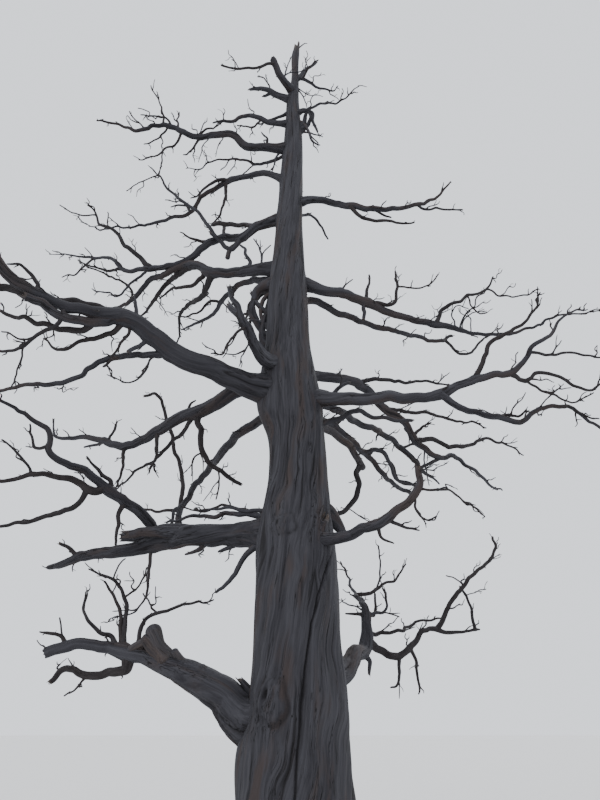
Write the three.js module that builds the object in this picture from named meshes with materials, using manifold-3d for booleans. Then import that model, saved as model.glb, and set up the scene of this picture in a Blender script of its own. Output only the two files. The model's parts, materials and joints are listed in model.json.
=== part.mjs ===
// A tall dead tree that has lost its bark and leaves: one tapering trunk with a flat cut at the ground,
// bare crooked boughs all round it, and a spray of brittle twigs at the end of each bough.
// Millimetres, +Z up, the trunk's foot at the origin, the front of the tree facing -Y.
// Bearings are degrees round the trunk from +X, climbs are degrees above the level.
import * as THREE from 'three';
import { mergeVertices } from 'three/addons/utils/BufferGeometryUtils.js';
import loadManifold from 'manifold-3d';

const wasm = await loadManifold();
wasm.setup();
const { Manifold, Mesh: SolidMesh } = wasm;

const HEIGHT = 14650;        // ground to the broken spike
const GAP = 0.3;             // clear width between a limb and what it grows from
const SWAY = 10;             // degrees a limb swings to either side as it goes
const TAPER = 0.8;           // how a limb thins from foot to tip
const COLLAR = 0.34;         // swelling at a limb's foot, as a share of its thickness
const COLLAR_REACH = 0.75;   // how far along the limb the swelling fades, as a share of its thickness
const FOOT_DEPTH = 0.5;      // where in the trunk a limb's axis starts, as a share of the radius
const STOUT = 120;           // a bough this thick swells the trunk round its foot
const BROAD = 320;           // a bough this thick swells it much more, and lower down
const TRUNK_SIDES = 20;
const TRUNK_RINGS = 30;
const ROOT_SPREAD = 190;     // how far the root lobes stand out at the ground
const ROOT_LOBES = 6;
const ROOT_RISE = 480;       // height over which the lobes fade
const FLUTE_DEPTH = 0.045;   // depth of the trunk's long furrows, as a share of its radius
const RING_CROWDING = 1.15;  // sets the trunk's rings closer together near the ground
const TWIG_SPACING = 1300;   // length of branch that carries one small side twig
const TWIG_FOOT = 20;        // thickness of a side twig where it starts
const TWIG_END = 9;          // thickness of the last twigs
const BRANCH_END = 15;       // thickness of a branch's tip
const LEAST_FORK = 24;       // thickness of the slimmest fork
const MOST_FORK = 60;        // thickness of the stoutest fork without a thickness of its own
const CLEARANCE = 18;        // least room between a twig and any other node
const NEARBY = 1400;         // rods farther apart than this are not compared

// height, sideways lean of the axis, radius
const TRUNK = [
  [0, 52, 655], [800, 50, 640], [1650, 49, 603], [2570, 36, 566], [3600, 36, 541], [4180, 31, 490],
  [4780, 42, 432], [5410, 30, 424], [5900, -35, 452], [6530, -98, 425], [7080, -115, 357], [7770, -127, 335],
  [8800, -119, 278], [9720, -109, 232], [10690, -79, 213], [11700, -50, 178], [12290, -55, 145],
  [12860, -62, 121], [13460, -22, 78], [14090, -22, 58], [HEIGHT, 20, 24],
];

const fork = (at, bearing, bend, length, climbs, ...forks) => ({ at, bearing, bend, length, climbs, forks });
const stout = (thick, ...rest) => ({ ...fork(...rest), thick });

// foot: height on the trunk; thick and tip: thickness at foot and end; bare: share that is a bare bough.
// A limb with `on` grows from another limb, `at` a share of the way along it.
const LIMBS = [
  { name: 'low_left', foot: 1530, bearing: 176, bend: 6, length: 3300, thick: 430, tip: 115, taper: 1, bare: 0.58,
    climbs: [20, 45, 30, 25, 20, 5, 5, -15], forks: [
      fork(0.67, 200, 0, 950, [70, 75, 65, 40]),
      fork(0.67, 230, -30, 1350, [85, 85, 75, 50, 10, 20],
        fork(0.71, 318, 0, 350, [50, 35]), fork(0.47, 318, 0, 600, [20, 30, 70])),
      fork(0.69, 186, 6, 1000, [40, 20, 40, 55, 85]),
      fork(0.62, 20, -10, 1300, [85, 65, 25, 20, 15, 10], fork(0.41, 120, 0, 900, [30, 35, 25])),
      fork(0.91, 200, -10, 450, [55, 5, 5], fork(0.28, 230, 0, 250, [65, 60])),
      stout(90, 0.65, 150, 22, 1450, [-70, -30, -20, 10, 25, 0, -40], fork(0.61, 165, 0, 400, [-65, -30, -20])),
    ],
    spurs: [{ ...fork(0.52, 172, 0, 430, [60, 85]), thick: 270, tip: 150 },
      { ...fork(0.32, 178, 0, 650, [45, 25]), thick: 170, tip: 130 }] },
  { name: 'low_right', foot: 2200, bearing: 48, bend: 64, length: 4550, thick: 370, tip: 18, taper: 1.6,
    bare: 0.36, climbs: [0, 30, 15, 85, 25, 20, 30, 55], forks: [
      fork(0.67, 30, -10, 1300, [20, 20, 30, 30, 35, 55], fork(0.34, 60, 0, 900, [60, 75, 85])),
      stout(95, 0.4, 20, -10, 2250, [-20, -25, 10, 40, 45, 5, 0, 0, 5],
        fork(0.68, 10, 10, 2100, [60, 55, 50, 50, 30, 35, 65, 85], fork(0.41, 200, -10, 350, [65, 35, 10])),
        fork(0.96, 150, 10, 700, [85, 85, 75, 70, 60], fork(0.79, 350, 0, 400, [20, 20, 10])),
        fork(0.39, 40, -10, 700, [-45, -85, -85, -85]), fork(0.28, 100, 20, 600, [-85, -85, -55, -15])),
      fork(0.42, 40, -10, 1800, [5, 15, 15, 15, 10]),
      fork(0.47, 160, 10, 300, [15, 5, 0]),
      fork(0.47, 80, -40, 950, [10, 10, 10, 20, 80, 85]),
    ] },
  { name: 'broken_left', foot: 4000, bearing: 163, bend: -3, length: 4000, thick: 310, tip: 50, bare: 0.62,
    climbs: [5, 0, -5, -5, -5, -5], forks: [fork(0.83, 200, -10, 400, [45, 25])],
    spurs: [{ ...fork(0.12, 163, -2, 2150, [8, 3, 0]), thick: 240, tip: 130 }] },
  { name: 'hanging_left', on: 'broken_left', at: 0.51, bearing: 150, bend: 15, length: 1450, thick: 60, bare: 0,
    climbs: [-80, -80, -85, -50, -20, -15], forks: [] },
  { name: 'rising_left', on: 'broken_left', at: 0.5, bearing: 212, bend: 10, length: 3750, thick: 110, bare: 0,
    climbs: [65, 40, 25, 30, 20, 20, 20, 80, 30, 10, 20, -5], forks: [
      fork(0.6, 190, 10, 550, [0, 70, 85]),
      fork(0.3, 230, -15, 650, [70, 25, 35, 45]),
      stout(85, 0.32, 196, -6, 1950, [-15, 30, 10, -10, -10, -10, 0],
        fork(0.56, 215, 0, 700, [55, 45, 35, 25]), stout(60, 0.15, 180, 5, 1700, [-60, -25, -20, -10, -10, -5])),
      fork(0.24, 160, 0, 700, [-85, -85, -85, -85]),
    ] },
  { name: 'thin_left', foot: 4240, bearing: 155, bend: 13, length: 1900, thick: 85, bare: 0,
    climbs: [10, 10, 5, 5, -5, -10], forks: [fork(0.25, 150, 20, 1300, [30, 15, -5, 5])] },
  { name: 'drooping_stub', foot: 3850, bearing: 165, bend: -5, length: 1150, thick: 100, tip: 30, bare: 1,
    climbs: [0, -35, -55, -40], forks: [] },
  { name: 'straight_back_left', foot: 5850, bearing: 124, bend: -4, length: 4750, thick: 180, bare: 0.62,
    climbs: [25, 0, -10, -5, -30, -15], forks: [
      fork(0.92, 215, 10, 2850, [85, 85, 70, 65, 70, 65, 70, 45, -25]),
      fork(0.94, 170, 10, 1000, [5, 0, 20, 0]),
    ] },
  { name: 'sagging_left', foot: 6450, bearing: 150, bend: 12, length: 5200, thick: 170, bare: 0.29,
    climbs: [15, -15, -15, -5, -25, -15, 0, 20, 15, 5, 70], forks: [
      fork(0.31, 10, 20, 1550, [-85, -80, -55, -40, -25],
        fork(0.47, 190, -10, 500, [-55, -85]), fork(0.74, 200, -10, 500, [-85, -85])),
      fork(0.33, 135, 20, 2200, [-55, -20, -35, -20, -20, -35, -10]),
      fork(0.46, 165, 0, 800, [-85, -85, -70]),
      fork(0.6, 172, 0, 850, [-85, -85, -80]),
      fork(0.68, 10, -20, 450, [75, 75, 70]),
      fork(0.35, 350, 10, 300, [85, 55]),
    ] },
  { name: 'great_left', foot: 6190, bearing: 204, bend: 4, length: 5200, thick: 350, tip: 55, taper: 0.65,
    bare: 0.46, climbs: [0, 20, 5, 30, 25, -15, 10, 15, 40, -10], forks: [
      stout(110, 0.5, 196, -6, 2200, [5, 5, 10, 5, 10, -10]),
      stout(95, 0.56, 180, -10, 2300, [-50, 15, 15, 25, 20, 5]),
      stout(80, 0.49, 165, 0, 1550, [-50, -20, -10, -10, 20, 30]),
      fork(0.65, 190, -10, 1550, [-70, -30, -55, -10, 15],
        fork(0.55, 150, 0, 650, [-85, -80, -75, -85]), fork(0.4, 185, 0, 550, [-40, 0, 25, 25])),
      fork(0.48, 150, 0, 650, [-85, -70, -40]),
      fork(0.74, 215, -10, 700, [85, 60, 25, -15]),
    ] },
  { name: 'under_left', on: 'great_left', at: 0.34, bearing: 172, bend: 8, length: 3350, thick: 110, bare: 0,
    climbs: [-20, 10, -15, -35, -15, -5, -10, -15, -5], forks: [fork(0.06, 170, 10, 1000, [-60, -55, 0, 15])] },
  { name: 'broken_prong', foot: 6650, bearing: 236, bend: 2, length: 1650, thick: 170, tip: 60, bare: 0.46,
    climbs: [-20, 40, 25, 60], forks: [
      fork(0.63, 200, -10, 800, [-50, -55, -65, -25]), fork(0.5, 250, -20, 700, [-65, -70]),
    ] },
  { name: 'back_left_high', foot: 8450, bearing: 140, bend: 0, length: 2750, thick: 130, bare: 0.55,
    climbs: [20, 30, 5, -25, -15, -15, 10], forks: [
      fork(0.6, 165, -15, 900, [20, -40, -25, 15]), fork(0.78, 170, 0, 250, [-85, -80]),
    ] },
  { name: 'level_left', foot: 8650, bearing: 166, bend: -18, length: 4150, thick: 150, bare: 0.3,
    climbs: [5, 10, 10, 35, 20, -15, 0, -50, -10, 5], forks: [
      stout(95, 0.45, 135, -5, 2100, [0, 15, -35, 0, -5]),
      fork(0.35, 150, 0, 1250, [-40, -5, 15, -20]),
      stout(85, 0.31, 120, -5, 2450, [-35, 10, 25, 0, -5, -85]),
      fork(0.82, 185, -10, 1550, [85, 55, 25, 30, 25, 25, 40]),
      fork(0.14, 250, 0, 550, [80, 15, 10]),
      fork(0.08, 240, -40, 650, [85, 85, 50]),
    ] },
  { name: 'rotten_left', foot: 8200, bearing: 168, bend: 10, length: 1150, thick: 95, bare: 0,
    climbs: [5, -55, -85, -80], forks: [
      fork(0.35, 200, 10, 700, [-50, -85, -60]), fork(0.55, 150, 10, 500, [-20, -80]),
    ] },
  { name: 'knuckled_left', foot: 9800, bearing: 158, bend: 20, length: 5050, thick: 190, bare: 0.3,
    climbs: [-10, -25, 20, -30, -25, -10, -5, 10, 45, 10, 10, 0], forks: [
      stout(85, 0.55, 200, -8, 1800, [45, 25, 45, 50, 20, 55, 50],
        fork(0.87, 185, 0, 750, [-10, 15, 20, 45]), fork(0.65, 240, 0, 350, [85, 85])),
      fork(0.31, 200, 0, 600, [10, 0, 20]),
      fork(0.43, 230, 0, 300, [75, 35]),
      fork(0.67, 150, 15, 1250, [25, 10, 30, 30, 30]),
      fork(0.82, 165, 0, 750, [-50, -35, -5]),
    ] },
  { name: 'crossing_left', on: 'knuckled_left', at: 0.23, bearing: 200, bend: -10, length: 2200, thick: 70,
    bare: 0, climbs: [-20, 50, 60, 45, 35, 40, 35, 50, 55], forks: [
      fork(0.9, 180, -10, 650, [-20, -35, -45]), fork(0.53, 170, 10, 450, [25, 5, 10]),
    ] },
  { name: 'loop_left', on: 'knuckled_left', at: 0.1, bearing: 175, bend: 15, length: 850, thick: 75, bare: 0,
    climbs: [25, -10, -10], forks: [] },
  { name: 'arched_left', foot: 10700, bearing: 172, bend: -12, length: 4750, thick: 130, bare: 0,
    climbs: [25, 5, -20, -25, -55, -20, 0, 10, 5, 25, 35], forks: [
      fork(0.23, 190, -10, 1000, [-15, -25, -60, -40]),
      fork(0.26, 130, 10, 1000, [-85, -85, -50, -20]),
      fork(0.45, 150, 20, 600, [55, -10]),
    ] },
  { name: 'slender_left', foot: 11400, bearing: 160, bend: 16, length: 2250, thick: 56, bare: 0,
    climbs: [-15, 10, 25, 20, 5, -40, 10], forks: [
      fork(0.58, 150, 0, 300, [-65, -40]), fork(0.34, 150, 0, 350, [-25, -40]),
    ] },
  { name: 'long_left', foot: 11500, bearing: 186, bend: 10, length: 3850, thick: 110, bare: 0,
    climbs: [0, 0, 30, 0, -20, 15, 0, -40, 25, -5], forks: [
      fork(0.61, 215, -15, 650, [40, -5, -5, -20], fork(0.71, 200, 0, 300, [65, 0])),
      fork(0.65, 225, -10, 1000, [85, 70, 60]),
      fork(0.58, 260, -10, 500, [85, 85]),
      fork(0.75, 215, -10, 400, [35, 50]),
      fork(0.62, 150, 0, 600, [-25, 5]),
      fork(0.55, 150, 15, 1100, [-40, -30, 0, 10], fork(0.47, 175, -5, 650, [-85, -85])),
      fork(0.46, 140, 10, 650, [-60, 25]),
      fork(0.5, 40, -10, 1000, [50, 50, 55]),
      fork(0.1, 200, -10, 400, [85, 60]),
    ] },
  { name: 'upper_left', foot: 12150, bearing: 200, bend: -20, length: 1550, thick: 70, bare: 0,
    climbs: [-5, -10, 5, -20, -15], forks: [fork(0.37, 170, 0, 650, [-60, 5, 40])] },
  { name: 'crown_left', foot: 12850, bearing: 200, bend: -14, length: 850, thick: 52, bare: 0,
    climbs: [15, 10, 10, -10], forks: [fork(0.51, 190, 0, 500, [75, 65, 15])] },
  { name: 'prong_left', foot: 13100, bearing: 233, bend: -5, length: 750, thick: 105, tip: 48, bare: 0,
    climbs: [-10, 25, 50], forks: [
      fork(0.88, 190, -10, 1100, [-35, -15, -10, 15], fork(0.67, 200, 0, 250, [60, 15])),
    ] },
  { name: 'crown_right', foot: 13550, bearing: 5, bend: -15, length: 1050, thick: 66, bare: 0,
    climbs: [-30, -30, -35, -20, 40], forks: [fork(0.14, 300, 10, 500, [0, 0])] },
  { name: 'spire_right', foot: 12450, bearing: 332, bend: -12, length: 1550, thick: 86, bare: 0,
    climbs: [-25, 10, -25, -35, 15, 0], forks: [] },
  { name: 'rotten_right', foot: 12270, bearing: 352, bend: 8, length: 900, thick: 60, bare: 0,
    climbs: [-45, -70, -75, -30], forks: [fork(0.4, 20, 0, 350, [-60, -40])] },
  { name: 'upper_right', foot: 10100, bearing: 352, bend: -2, length: 3050, thick: 115, bare: 0,
    climbs: [10, -20, -25, -5, -15, 5, 30, 40], forks: [
      fork(0.35, 10, -10, 1250, [-65, -25, -5, -5, -5, 5]),
      fork(0.74, 5, -5, 800, [-35, 15, -5, -10]),
      fork(0.49, 20, 0, 350, [-30, -20]),
    ] },
  { name: 'hook_right', foot: 9900, bearing: 50, bend: 0, length: 1200, thick: 90, tip: 34, bare: 1,
    climbs: [35, 35, -20, -30], forks: [] },
  { name: 'high_right', foot: 8360, bearing: 12, bend: -6, length: 6500, thick: 160, bare: 0.19,
    climbs: [-15, 0, -30, -10, -5, -15, 5, 20, 25, 25, 0, 5], forks: [
      fork(0.2, 350, 10, 600, [85, 85, 85, 85]),
      fork(0.21, 340, 5, 1000, [-5, 5, 65, 85, 85], fork(0.68, 350, -5, 800, [-15, -10, 15, 55])),
      fork(0.4, 345, 5, 1500, [65, 50, 5, 35, 15, 30, 65],
        fork(0.8, 0, -10, 1000, [-35, 0, -10, 35]), fork(0.57, 40, -10, 600, [-65, -25, 20])),
    ] },
  { name: 'high_right_under', foot: 7950, bearing: 34, bend: -6, length: 3800, thick: 120, bare: 0.55,
    climbs: [30, -15, 10, -5, 5, 10, 0, 30], forks: [fork(0.93, 20, -20, 1250, [-40, -20, 30, 50, 35])] },
  { name: 'mid_right', foot: 6560, bearing: 34, bend: 4, length: 5300, thick: 160, bare: 0.21,
    climbs: [20, 5, 0, -35, -20, -40, -20, 15, -15, -25, -5], forks: [
      fork(0.23, 8, -8, 1750, [25, 0, 0, 0, -5, -10]),
      stout(75, 0.53, 25, 5, 2700, [20, -5, -5, 25, 25, 10, -5, -25]),
      fork(0.37, 20, -5, 2050, [10, -5, 10, -5, -15, 5, -15]),
      fork(0.51, 0, 0, 500, [45, 35]),
    ] },
  { name: 'main_right', foot: 6100, bearing: 344, bend: -12, length: 4500, thick: 220, bare: 0.55,
    climbs: [-15, -10, -10, -5, -5, -5, 20, 10, -5, 40, 40, 35, 20], forks: [
      stout(90, 0.58, 350, -10, 1800, [60, 55, 70, 15, 30, 35, 55, 70]),
      fork(0.78, 0, -5, 1350, [0, 5, -15, -10, -20]),
      stout(70, 0.69, 5, -5, 1800, [-35, 35, -10, -35, -5, 25, -5],
        fork(0.16, 15, -5, 1050, [-30, -25, -15, 10, 30])),
    ] },
  { name: 'main_right_low', on: 'main_right', at: 0.47, bearing: 12, bend: -6, length: 3150, thick: 90, bare: 0,
    climbs: [-40, -5, -15, 0, 30, 15, 5, -45, -35, -10], forks: [
      fork(0.29, 25, -15, 550, [25, 25, 0, 35]), fork(0.7, 350, 0, 400, [-45, -35, -15]),
    ] },
  { name: 'lower_right', foot: 6100, bearing: 54, bend: -2, length: 4950, thick: 160, bare: 0.55,
    climbs: [20, 10, 5, 0, 10, -5, -20, -5, -10], forks: [fork(0.69, 30, 0, 850, [25, -10, -20])] },
  { name: 'lower_right_back', foot: 5800, bearing: 62, bend: -6, length: 4750, thick: 130, bare: 0,
    climbs: [20, 25, -5, 0, 0, -25, 0, -5, 0], forks: [
      stout(70, 0.55, 45, 5, 1950, [25, 5, -30, -45, -5, 10]), fork(0.27, 40, -10, 1600, [40, 40, 10, 0, 10]),
    ] },
  { name: 'drooping_right', foot: 5700, bearing: 40, bend: 8, length: 1500, thick: 130, bare: 0.55,
    climbs: [15, -20, -30], forks: [
      fork(0.96, 205, -15, 1100, [-70, -85, -80, -50, -30], fork(0.73, 10, 0, 450, [-35, -20])),
    ] },
  { name: 'rising_right', foot: 3850, bearing: 318, bend: 12, length: 2100, thick: 200, bare: 0.48,
    spurs: [{ ...fork(0.06, 325, 0, 260, [65]), thick: 200, tip: 130 }],
    climbs: [-10, -5, 5, 5, 15, 25, 25, 50, 85], forks: [
      fork(0.87, 355, 5, 850, [0, -5, -30, -45, -40]),
      fork(0.62, 10, 0, 450, [-30, -15, 5]),
      fork(0.83, 20, -20, 550, [-85, -85, -60, 0, 30]),
      fork(0.51, 30, -10, 350, [-50, -40, -30]),
    ] },

  // Limbs that the trunk hides in the photograph, so that the crown is full at the back too.
  { name: 'back_low', foot: 4700, bearing: 95, bend: -8, length: 2300, thick: 110, bare: 0,
    climbs: [20, 5, -15, 10, 25, -5, 15], forks: [
      fork(0.36, 108, -12, 1050, [55, 30, 10, 35]), fork(0.52, 78, 10, 850, [-45, -20, 5]),
      fork(0.7, 104, -10, 650, [50, 60, 25]), fork(0.84, 82, 5, 450, [-25, 10]),
    ] },
  { name: 'back_high', foot: 8900, bearing: 86, bend: 8, length: 2350, thick: 100, bare: 0,
    climbs: [10, 25, 5, -15, 5, 20, 10], forks: [
      fork(0.33, 96, -6, 1000, [-50, -30, -5, 10]), fork(0.5, 80, 8, 900, [60, 45, 15, 30]),
      fork(0.68, 98, -5, 600, [-35, -50, -20]), fork(0.82, 84, 5, 450, [45, 30]),
    ] },
  { name: 'back_upper', foot: 10850, bearing: 93, bend: -6, length: 1800, thick: 80, bare: 0,
    climbs: [25, 0, 15, -10, 10, 20], forks: [
      fork(0.35, 82, 8, 800, [50, 25, 35]), fork(0.55, 98, -8, 600, [-40, -15, 10]),
      fork(0.78, 86, 0, 400, [45, 55]),
    ] },
  { name: 'back_crown', foot: 12250, bearing: 88, bend: 6, length: 1150, thick: 62, bare: 0,
    climbs: [15, 30, 5, 20], forks: [
      fork(0.4, 96, -6, 480, [-35, 0, 15]), fork(0.6, 82, 6, 420, [60, 40]),
    ] },
];

// A value that runs smoothly through the trunk's stations.
function alongTrunk(height, column) {
  const last = TRUNK.length - 1;
  let k = 0;
  while (k < last - 1 && TRUNK[k + 1][0] < height) k += 1;
  const slope = (i) => {
    const a = TRUNK[Math.max(i - 1, 0)], b = TRUNK[Math.min(i + 1, last)];
    return (b[column] - a[column]) / (b[0] - a[0]);
  };
  const [a, b] = [TRUNK[k], TRUNK[k + 1]], span = b[0] - a[0];
  const t = Math.min(Math.max((height - a[0]) / span, 0), 1);
  return a[column] * (1 + 2 * t) * (1 - t) ** 2 + b[column] * t * t * (3 - 2 * t)
    + span * (slope(k) * t * (1 - t) ** 2 - slope(k + 1) * t * t * (1 - t));
}

const trunkAxis = (height) => new THREE.Vector3(alongTrunk(height, 1), 0, height);

// The trunk's radius towards an angle: taper, long furrows, root lobes and a swelling under each stout bough.
function trunkRadius(height, angle) {
  const base = alongTrunk(height, 2), metres = height / 1000;
  const furrow = 0.5 * Math.cos(5 * angle + 0.5 + 0.3 * metres) + 0.3 * Math.cos(3 * angle - 1 + 0.2 * metres)
    + 0.2 * Math.cos(8 * angle + 0.45 * metres);
  const lobe = 0.35 + 0.65 * (0.5 + 0.5 * Math.cos(ROOT_LOBES * angle + 0.8 + 0.6 * Math.sin(2 * angle)));
  let radius = base * (1 + FLUTE_DEPTH * (1 - 0.6 * height / HEIGHT) * furrow)
    + ROOT_SPREAD * lobe * Math.exp(-height / ROOT_RISE);
  for (const limb of LIMBS) {
    if (limb.foot === undefined || limb.thick < STOUT) continue;
    const { depth, drop } = limb.thick > BROAD ? { depth: 0.32, drop: 0.75 } : { depth: 0.14, drop: 0.3 };
    const turn = Math.atan2(Math.sin(angle - rad(limb.bearing)), Math.cos(angle - rad(limb.bearing)));
    const across = turn * base, up = height - limb.foot + drop * limb.thick;
    radius += depth * limb.thick * Math.exp(-(across * across + 0.6 * up * up) / (0.95 * limb.thick) ** 2);
  }
  return radius;
}

const rad = THREE.MathUtils.degToRad;
const deg = THREE.MathUtils.radToDeg;

// Ends of a limb's equal strides, each swung by the sway and raised by its own climb.
function strides(foot, limb) {
  const points = [foot.clone()], count = limb.climbs.length, stride = limb.length / count;
  limb.climbs.forEach((climb, i) => {
    const bearing = rad(limb.bearing + limb.bend * (i + 0.5) / count + SWAY * Math.sin(2.4 * i + limb.bearing));
    const level = stride * Math.cos(rad(climb));
    points.push(points[i].clone().add(new THREE.Vector3(
      level * Math.cos(bearing), level * Math.sin(bearing), stride * Math.sin(rad(climb)))));
  });
  return points;
}

const thicknessAt = (branch, u) => branch.tip + (branch.thick - branch.tip) * (1 - u) ** (branch.taper ?? TAPER);

// A branch is a limb laid out in space; its fork or twig starts on its axis.
function layOut(limb, foot, thick, tip) {
  const points = strides(foot, limb);
  const curve = new THREE.CatmullRomCurve3(points, false, 'catmullrom', 0.5);
  return { points, curve, thick, tip, taper: limb.taper, length: limb.length };
}

// A closed tube bent along part of a branch: a cylinder whose rings are moved to the branch's frames.
function tube(branch, { from = 0, to = 1, sides, rings, grow = 0, collar = 0, startGap = 0 }) {
  const frames = [];
  let side = null;
  for (let k = 0; k <= rings; k += 1) {
    const u = Math.min(from + (to - from) * k / rings, 1);
    const centre = branch.curve.getPoint(u), along = branch.curve.getTangent(u);
    if (k === 0) centre.addScaledVector(along, startGap);
    if (k === rings) centre.addScaledVector(along, grow);
    const level = Math.abs(along.z) > 0.9 ? new THREE.Vector3(0, 1, 0) : along;
    side ??= new THREE.Vector3(0, 0, 1).cross(level);
    side = side.clone().addScaledVector(along, -side.dot(along)).normalize();
    const swell = collar * branch.thick * Math.exp(-u * branch.length / (COLLAR_REACH * branch.thick));
    const radius = (thicknessAt(branch, u) + swell) / 2 + grow;
    frames.push({ centre, side, other: side.clone().cross(along), radius });
  }
  const geometry = new THREE.CylinderGeometry(1, 1, 1, sides, rings);
  const place = geometry.attributes.position, v = new THREE.Vector3();
  for (let i = 0; i < place.count; i += 1) {
    const frame = frames[Math.round((place.getY(i) + 0.5) * rings)];
    v.copy(frame.centre).addScaledVector(frame.side, place.getX(i) * frame.radius)
      .addScaledVector(frame.other, place.getZ(i) * frame.radius);
    place.setXYZ(i, v.x, v.y, v.z);
  }
  return toSolid(geometry);
}

// The trunk: a closed cylinder whose rings follow the leaning axis and the uneven radius.
function trunkSolid(grow) {
  const geometry = new THREE.CylinderGeometry(1, 1, 1, TRUNK_SIDES, TRUNK_RINGS);
  geometry.rotateX(Math.PI / 2);
  const place = geometry.attributes.position;
  for (let i = 0; i < place.count; i += 1) {
    const height = HEIGHT * (place.getZ(i) + 0.5) ** RING_CROWDING;
    const angle = Math.atan2(place.getY(i), place.getX(i)), axis = trunkAxis(height);
    const reach = Math.hypot(place.getX(i), place.getY(i)) * (trunkRadius(height, angle) + grow);
    place.setXYZ(i, axis.x + reach * Math.cos(angle), axis.y + reach * Math.sin(angle), height);
  }
  return toSolid(geometry);
}

function toSolid(geometry) {
  geometry.deleteAttribute('normal');
  geometry.deleteAttribute('uv');
  const welded = mergeVertices(geometry, 1e-4);
  const vertProperties = new Float32Array(welded.attributes.position.array);
  return new Manifold(new SolidMesh({ numProp: 3, vertProperties, triVerts: new Uint32Array(welded.index.array) }));
}

// The largest body of a solid, for a cut that leaves a sliver behind.
function mainBody(solid) {
  const bodies = solid.decompose();
  return bodies.reduce((best, body) => (body.volume() > best.volume() ? body : best));
}

// Shortest distance between two straight pieces of branch.
function apart(a, b) {
  const u = a.end.clone().sub(a.start), v = b.end.clone().sub(b.start), w = a.start.clone().sub(b.start);
  const uu = u.dot(u), uv = u.dot(v), vv = v.dot(v), uw = u.dot(w), vw = v.dot(w), det = uu * vv - uv * uv;
  const clamp = (x) => Math.min(Math.max(x, 0), 1);
  let s = det > 1e-6 ? clamp((uv * vw - vv * uw) / det) : 0;
  const t = clamp((uv * s + vw) / vv);
  s = clamp((uv * t - uw) / uu);
  return w.addScaledVector(u, s).addScaledVector(v, -t).length();
}

const rods = [];             // straight pieces of every branch already in its place, with their node's name

function rodsOf(branch, node, from = 0, to = 1, pieces = branch.points.length * 2 - 2) {
  const share = (k) => from + (to - from) * k / pieces;
  return Array.from({ length: pieces }, (_, k) => ({
    start: branch.curve.getPoint(share(k)), end: branch.curve.getPoint(share(k + 1)),
    radius: thicknessAt(branch, share(k)) / 2, node,
  }));
}

const touches = (rod, node, spare) => rods.some((other) => other.node !== node && !spare.includes(other.node)
  && Math.abs(other.start.z - rod.start.z) < NEARBY && Math.abs(other.start.x - rod.start.x) < NEARBY
  && apart(rod, other) < rod.radius + other.radius + CLEARANCE);

// The share of a branch that is clear of every other node, in whole strides.
function clearStrides(branch, node, spare) {
  const pieces = rodsOf(branch, node);
  const hit = pieces.findIndex((rod) => touches(rod, node, spare));
  return hit < 0 ? branch.points.length - 1 : Math.floor(hit / 2);
}

const dice = (seed) => {
  let state = seed % 2147483646 + 1;
  return () => {
    state = (state * 16807) % 2147483647;
    return state / 2147483647;
  };
};

// Small crooked side twigs, left and right in turn, along the outer part of a branch.
function sideTwigs(branch, from, seed) {
  const roll = dice(seed), count = Math.floor(branch.length * (1 - from) / TWIG_SPACING);
  return Array.from({ length: count }, (_, j) => {
    const at = from + (1 - from) * (j + 0.3 + 0.6 * roll()) / count, along = branch.curve.getTangent(at);
    const bearing = deg(Math.atan2(along.y, along.x)) + (j % 2 ? 1 : -1) * (35 + 35 * roll());
    const climb = deg(Math.asin(along.z)) * 0.6 - 25 + 65 * roll();
    const length = (260 + 320 * roll()) * (1.15 - 0.5 * at), crook = 30 * roll() - 10;
    return { limb: { bearing, bend: 0, length, climbs: [climb, climb + crook] }, at };
  });
}

// Forks of a branch and their own forks, each cut short where it would touch another node.
function branchOut(parent, forks, node, spare, seed, found) {
  forks.forEach((limb, index) => {
    const room = thicknessAt(parent, limb.at);
    const thick = Math.min(limb.thick ?? Math.min(Math.max(0.6 * room, LEAST_FORK), MOST_FORK), 0.92 * room);
    const whole = layOut(limb, parent.curve.getPoint(limb.at), thick, Math.min(BRANCH_END, thick * 0.7));
    const clear = clearStrides(whole, node, spare);
    if (clear < 1) return;
    const share = clear / limb.climbs.length;
    const kept = share < 1 ? layOut({ ...limb, bend: limb.bend * share, length: limb.length * share,
      climbs: limb.climbs.slice(0, clear) }, whole.points[0], thick, whole.tip) : whole;
    found.push(kept);
    rods.push(...rodsOf(kept, node));
    branchOut(kept, limb.forks, node, spare, seed * 7 + index * 13 + 5, found);
    for (const twig of sideTwigs(kept, 0.25, seed * 31 + index * 17 + 3)) addTwig(kept, twig, node, spare, found);
  });
}

function addTwig(parent, { limb, at }, node, spare, found) {
  const foot = parent.curve.getPoint(at), thick = Math.min(TWIG_FOOT, thicknessAt(parent, at) * 0.8);
  const branch = layOut(limb, foot, thick, TWIG_END);
  if (clearStrides(branch, node, spare) < limb.climbs.length) return;
  found.push(branch);
  rods.push(...rodsOf(branch, node));
}

const group = new THREE.Group();
group.name = 'dead_tree';
const wood = new THREE.MeshStandardMaterial({ color: 0x6e6760, roughness: 0.9, metalness: 0 });
const twigWood = new THREE.MeshStandardMaterial({ color: 0x5a524b, roughness: 0.95, metalness: 0 });

function addNode(name, solid, material) {
  const mesh = solid.getMesh();
  const geometry = new THREE.BufferGeometry();
  geometry.setAttribute('position', new THREE.BufferAttribute(mesh.vertProperties, 3));
  geometry.setIndex(new THREE.BufferAttribute(mesh.triVerts, 1));
  geometry.computeVertexNormals();
  const node = new THREE.Mesh(geometry, material);
  node.name = name;
  group.add(node);
}

const trunkGrown = trunkSolid(GAP);
addNode('trunk', trunkSolid(0), wood);
const trunkRod = HEIGHT / 40;
for (let low = 0; low < HEIGHT; low += trunkRod) {
  rods.push({ start: trunkAxis(low), end: trunkAxis(low + trunkRod), radius: alongTrunk(low, 2), node: 'trunk' });
}

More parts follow.
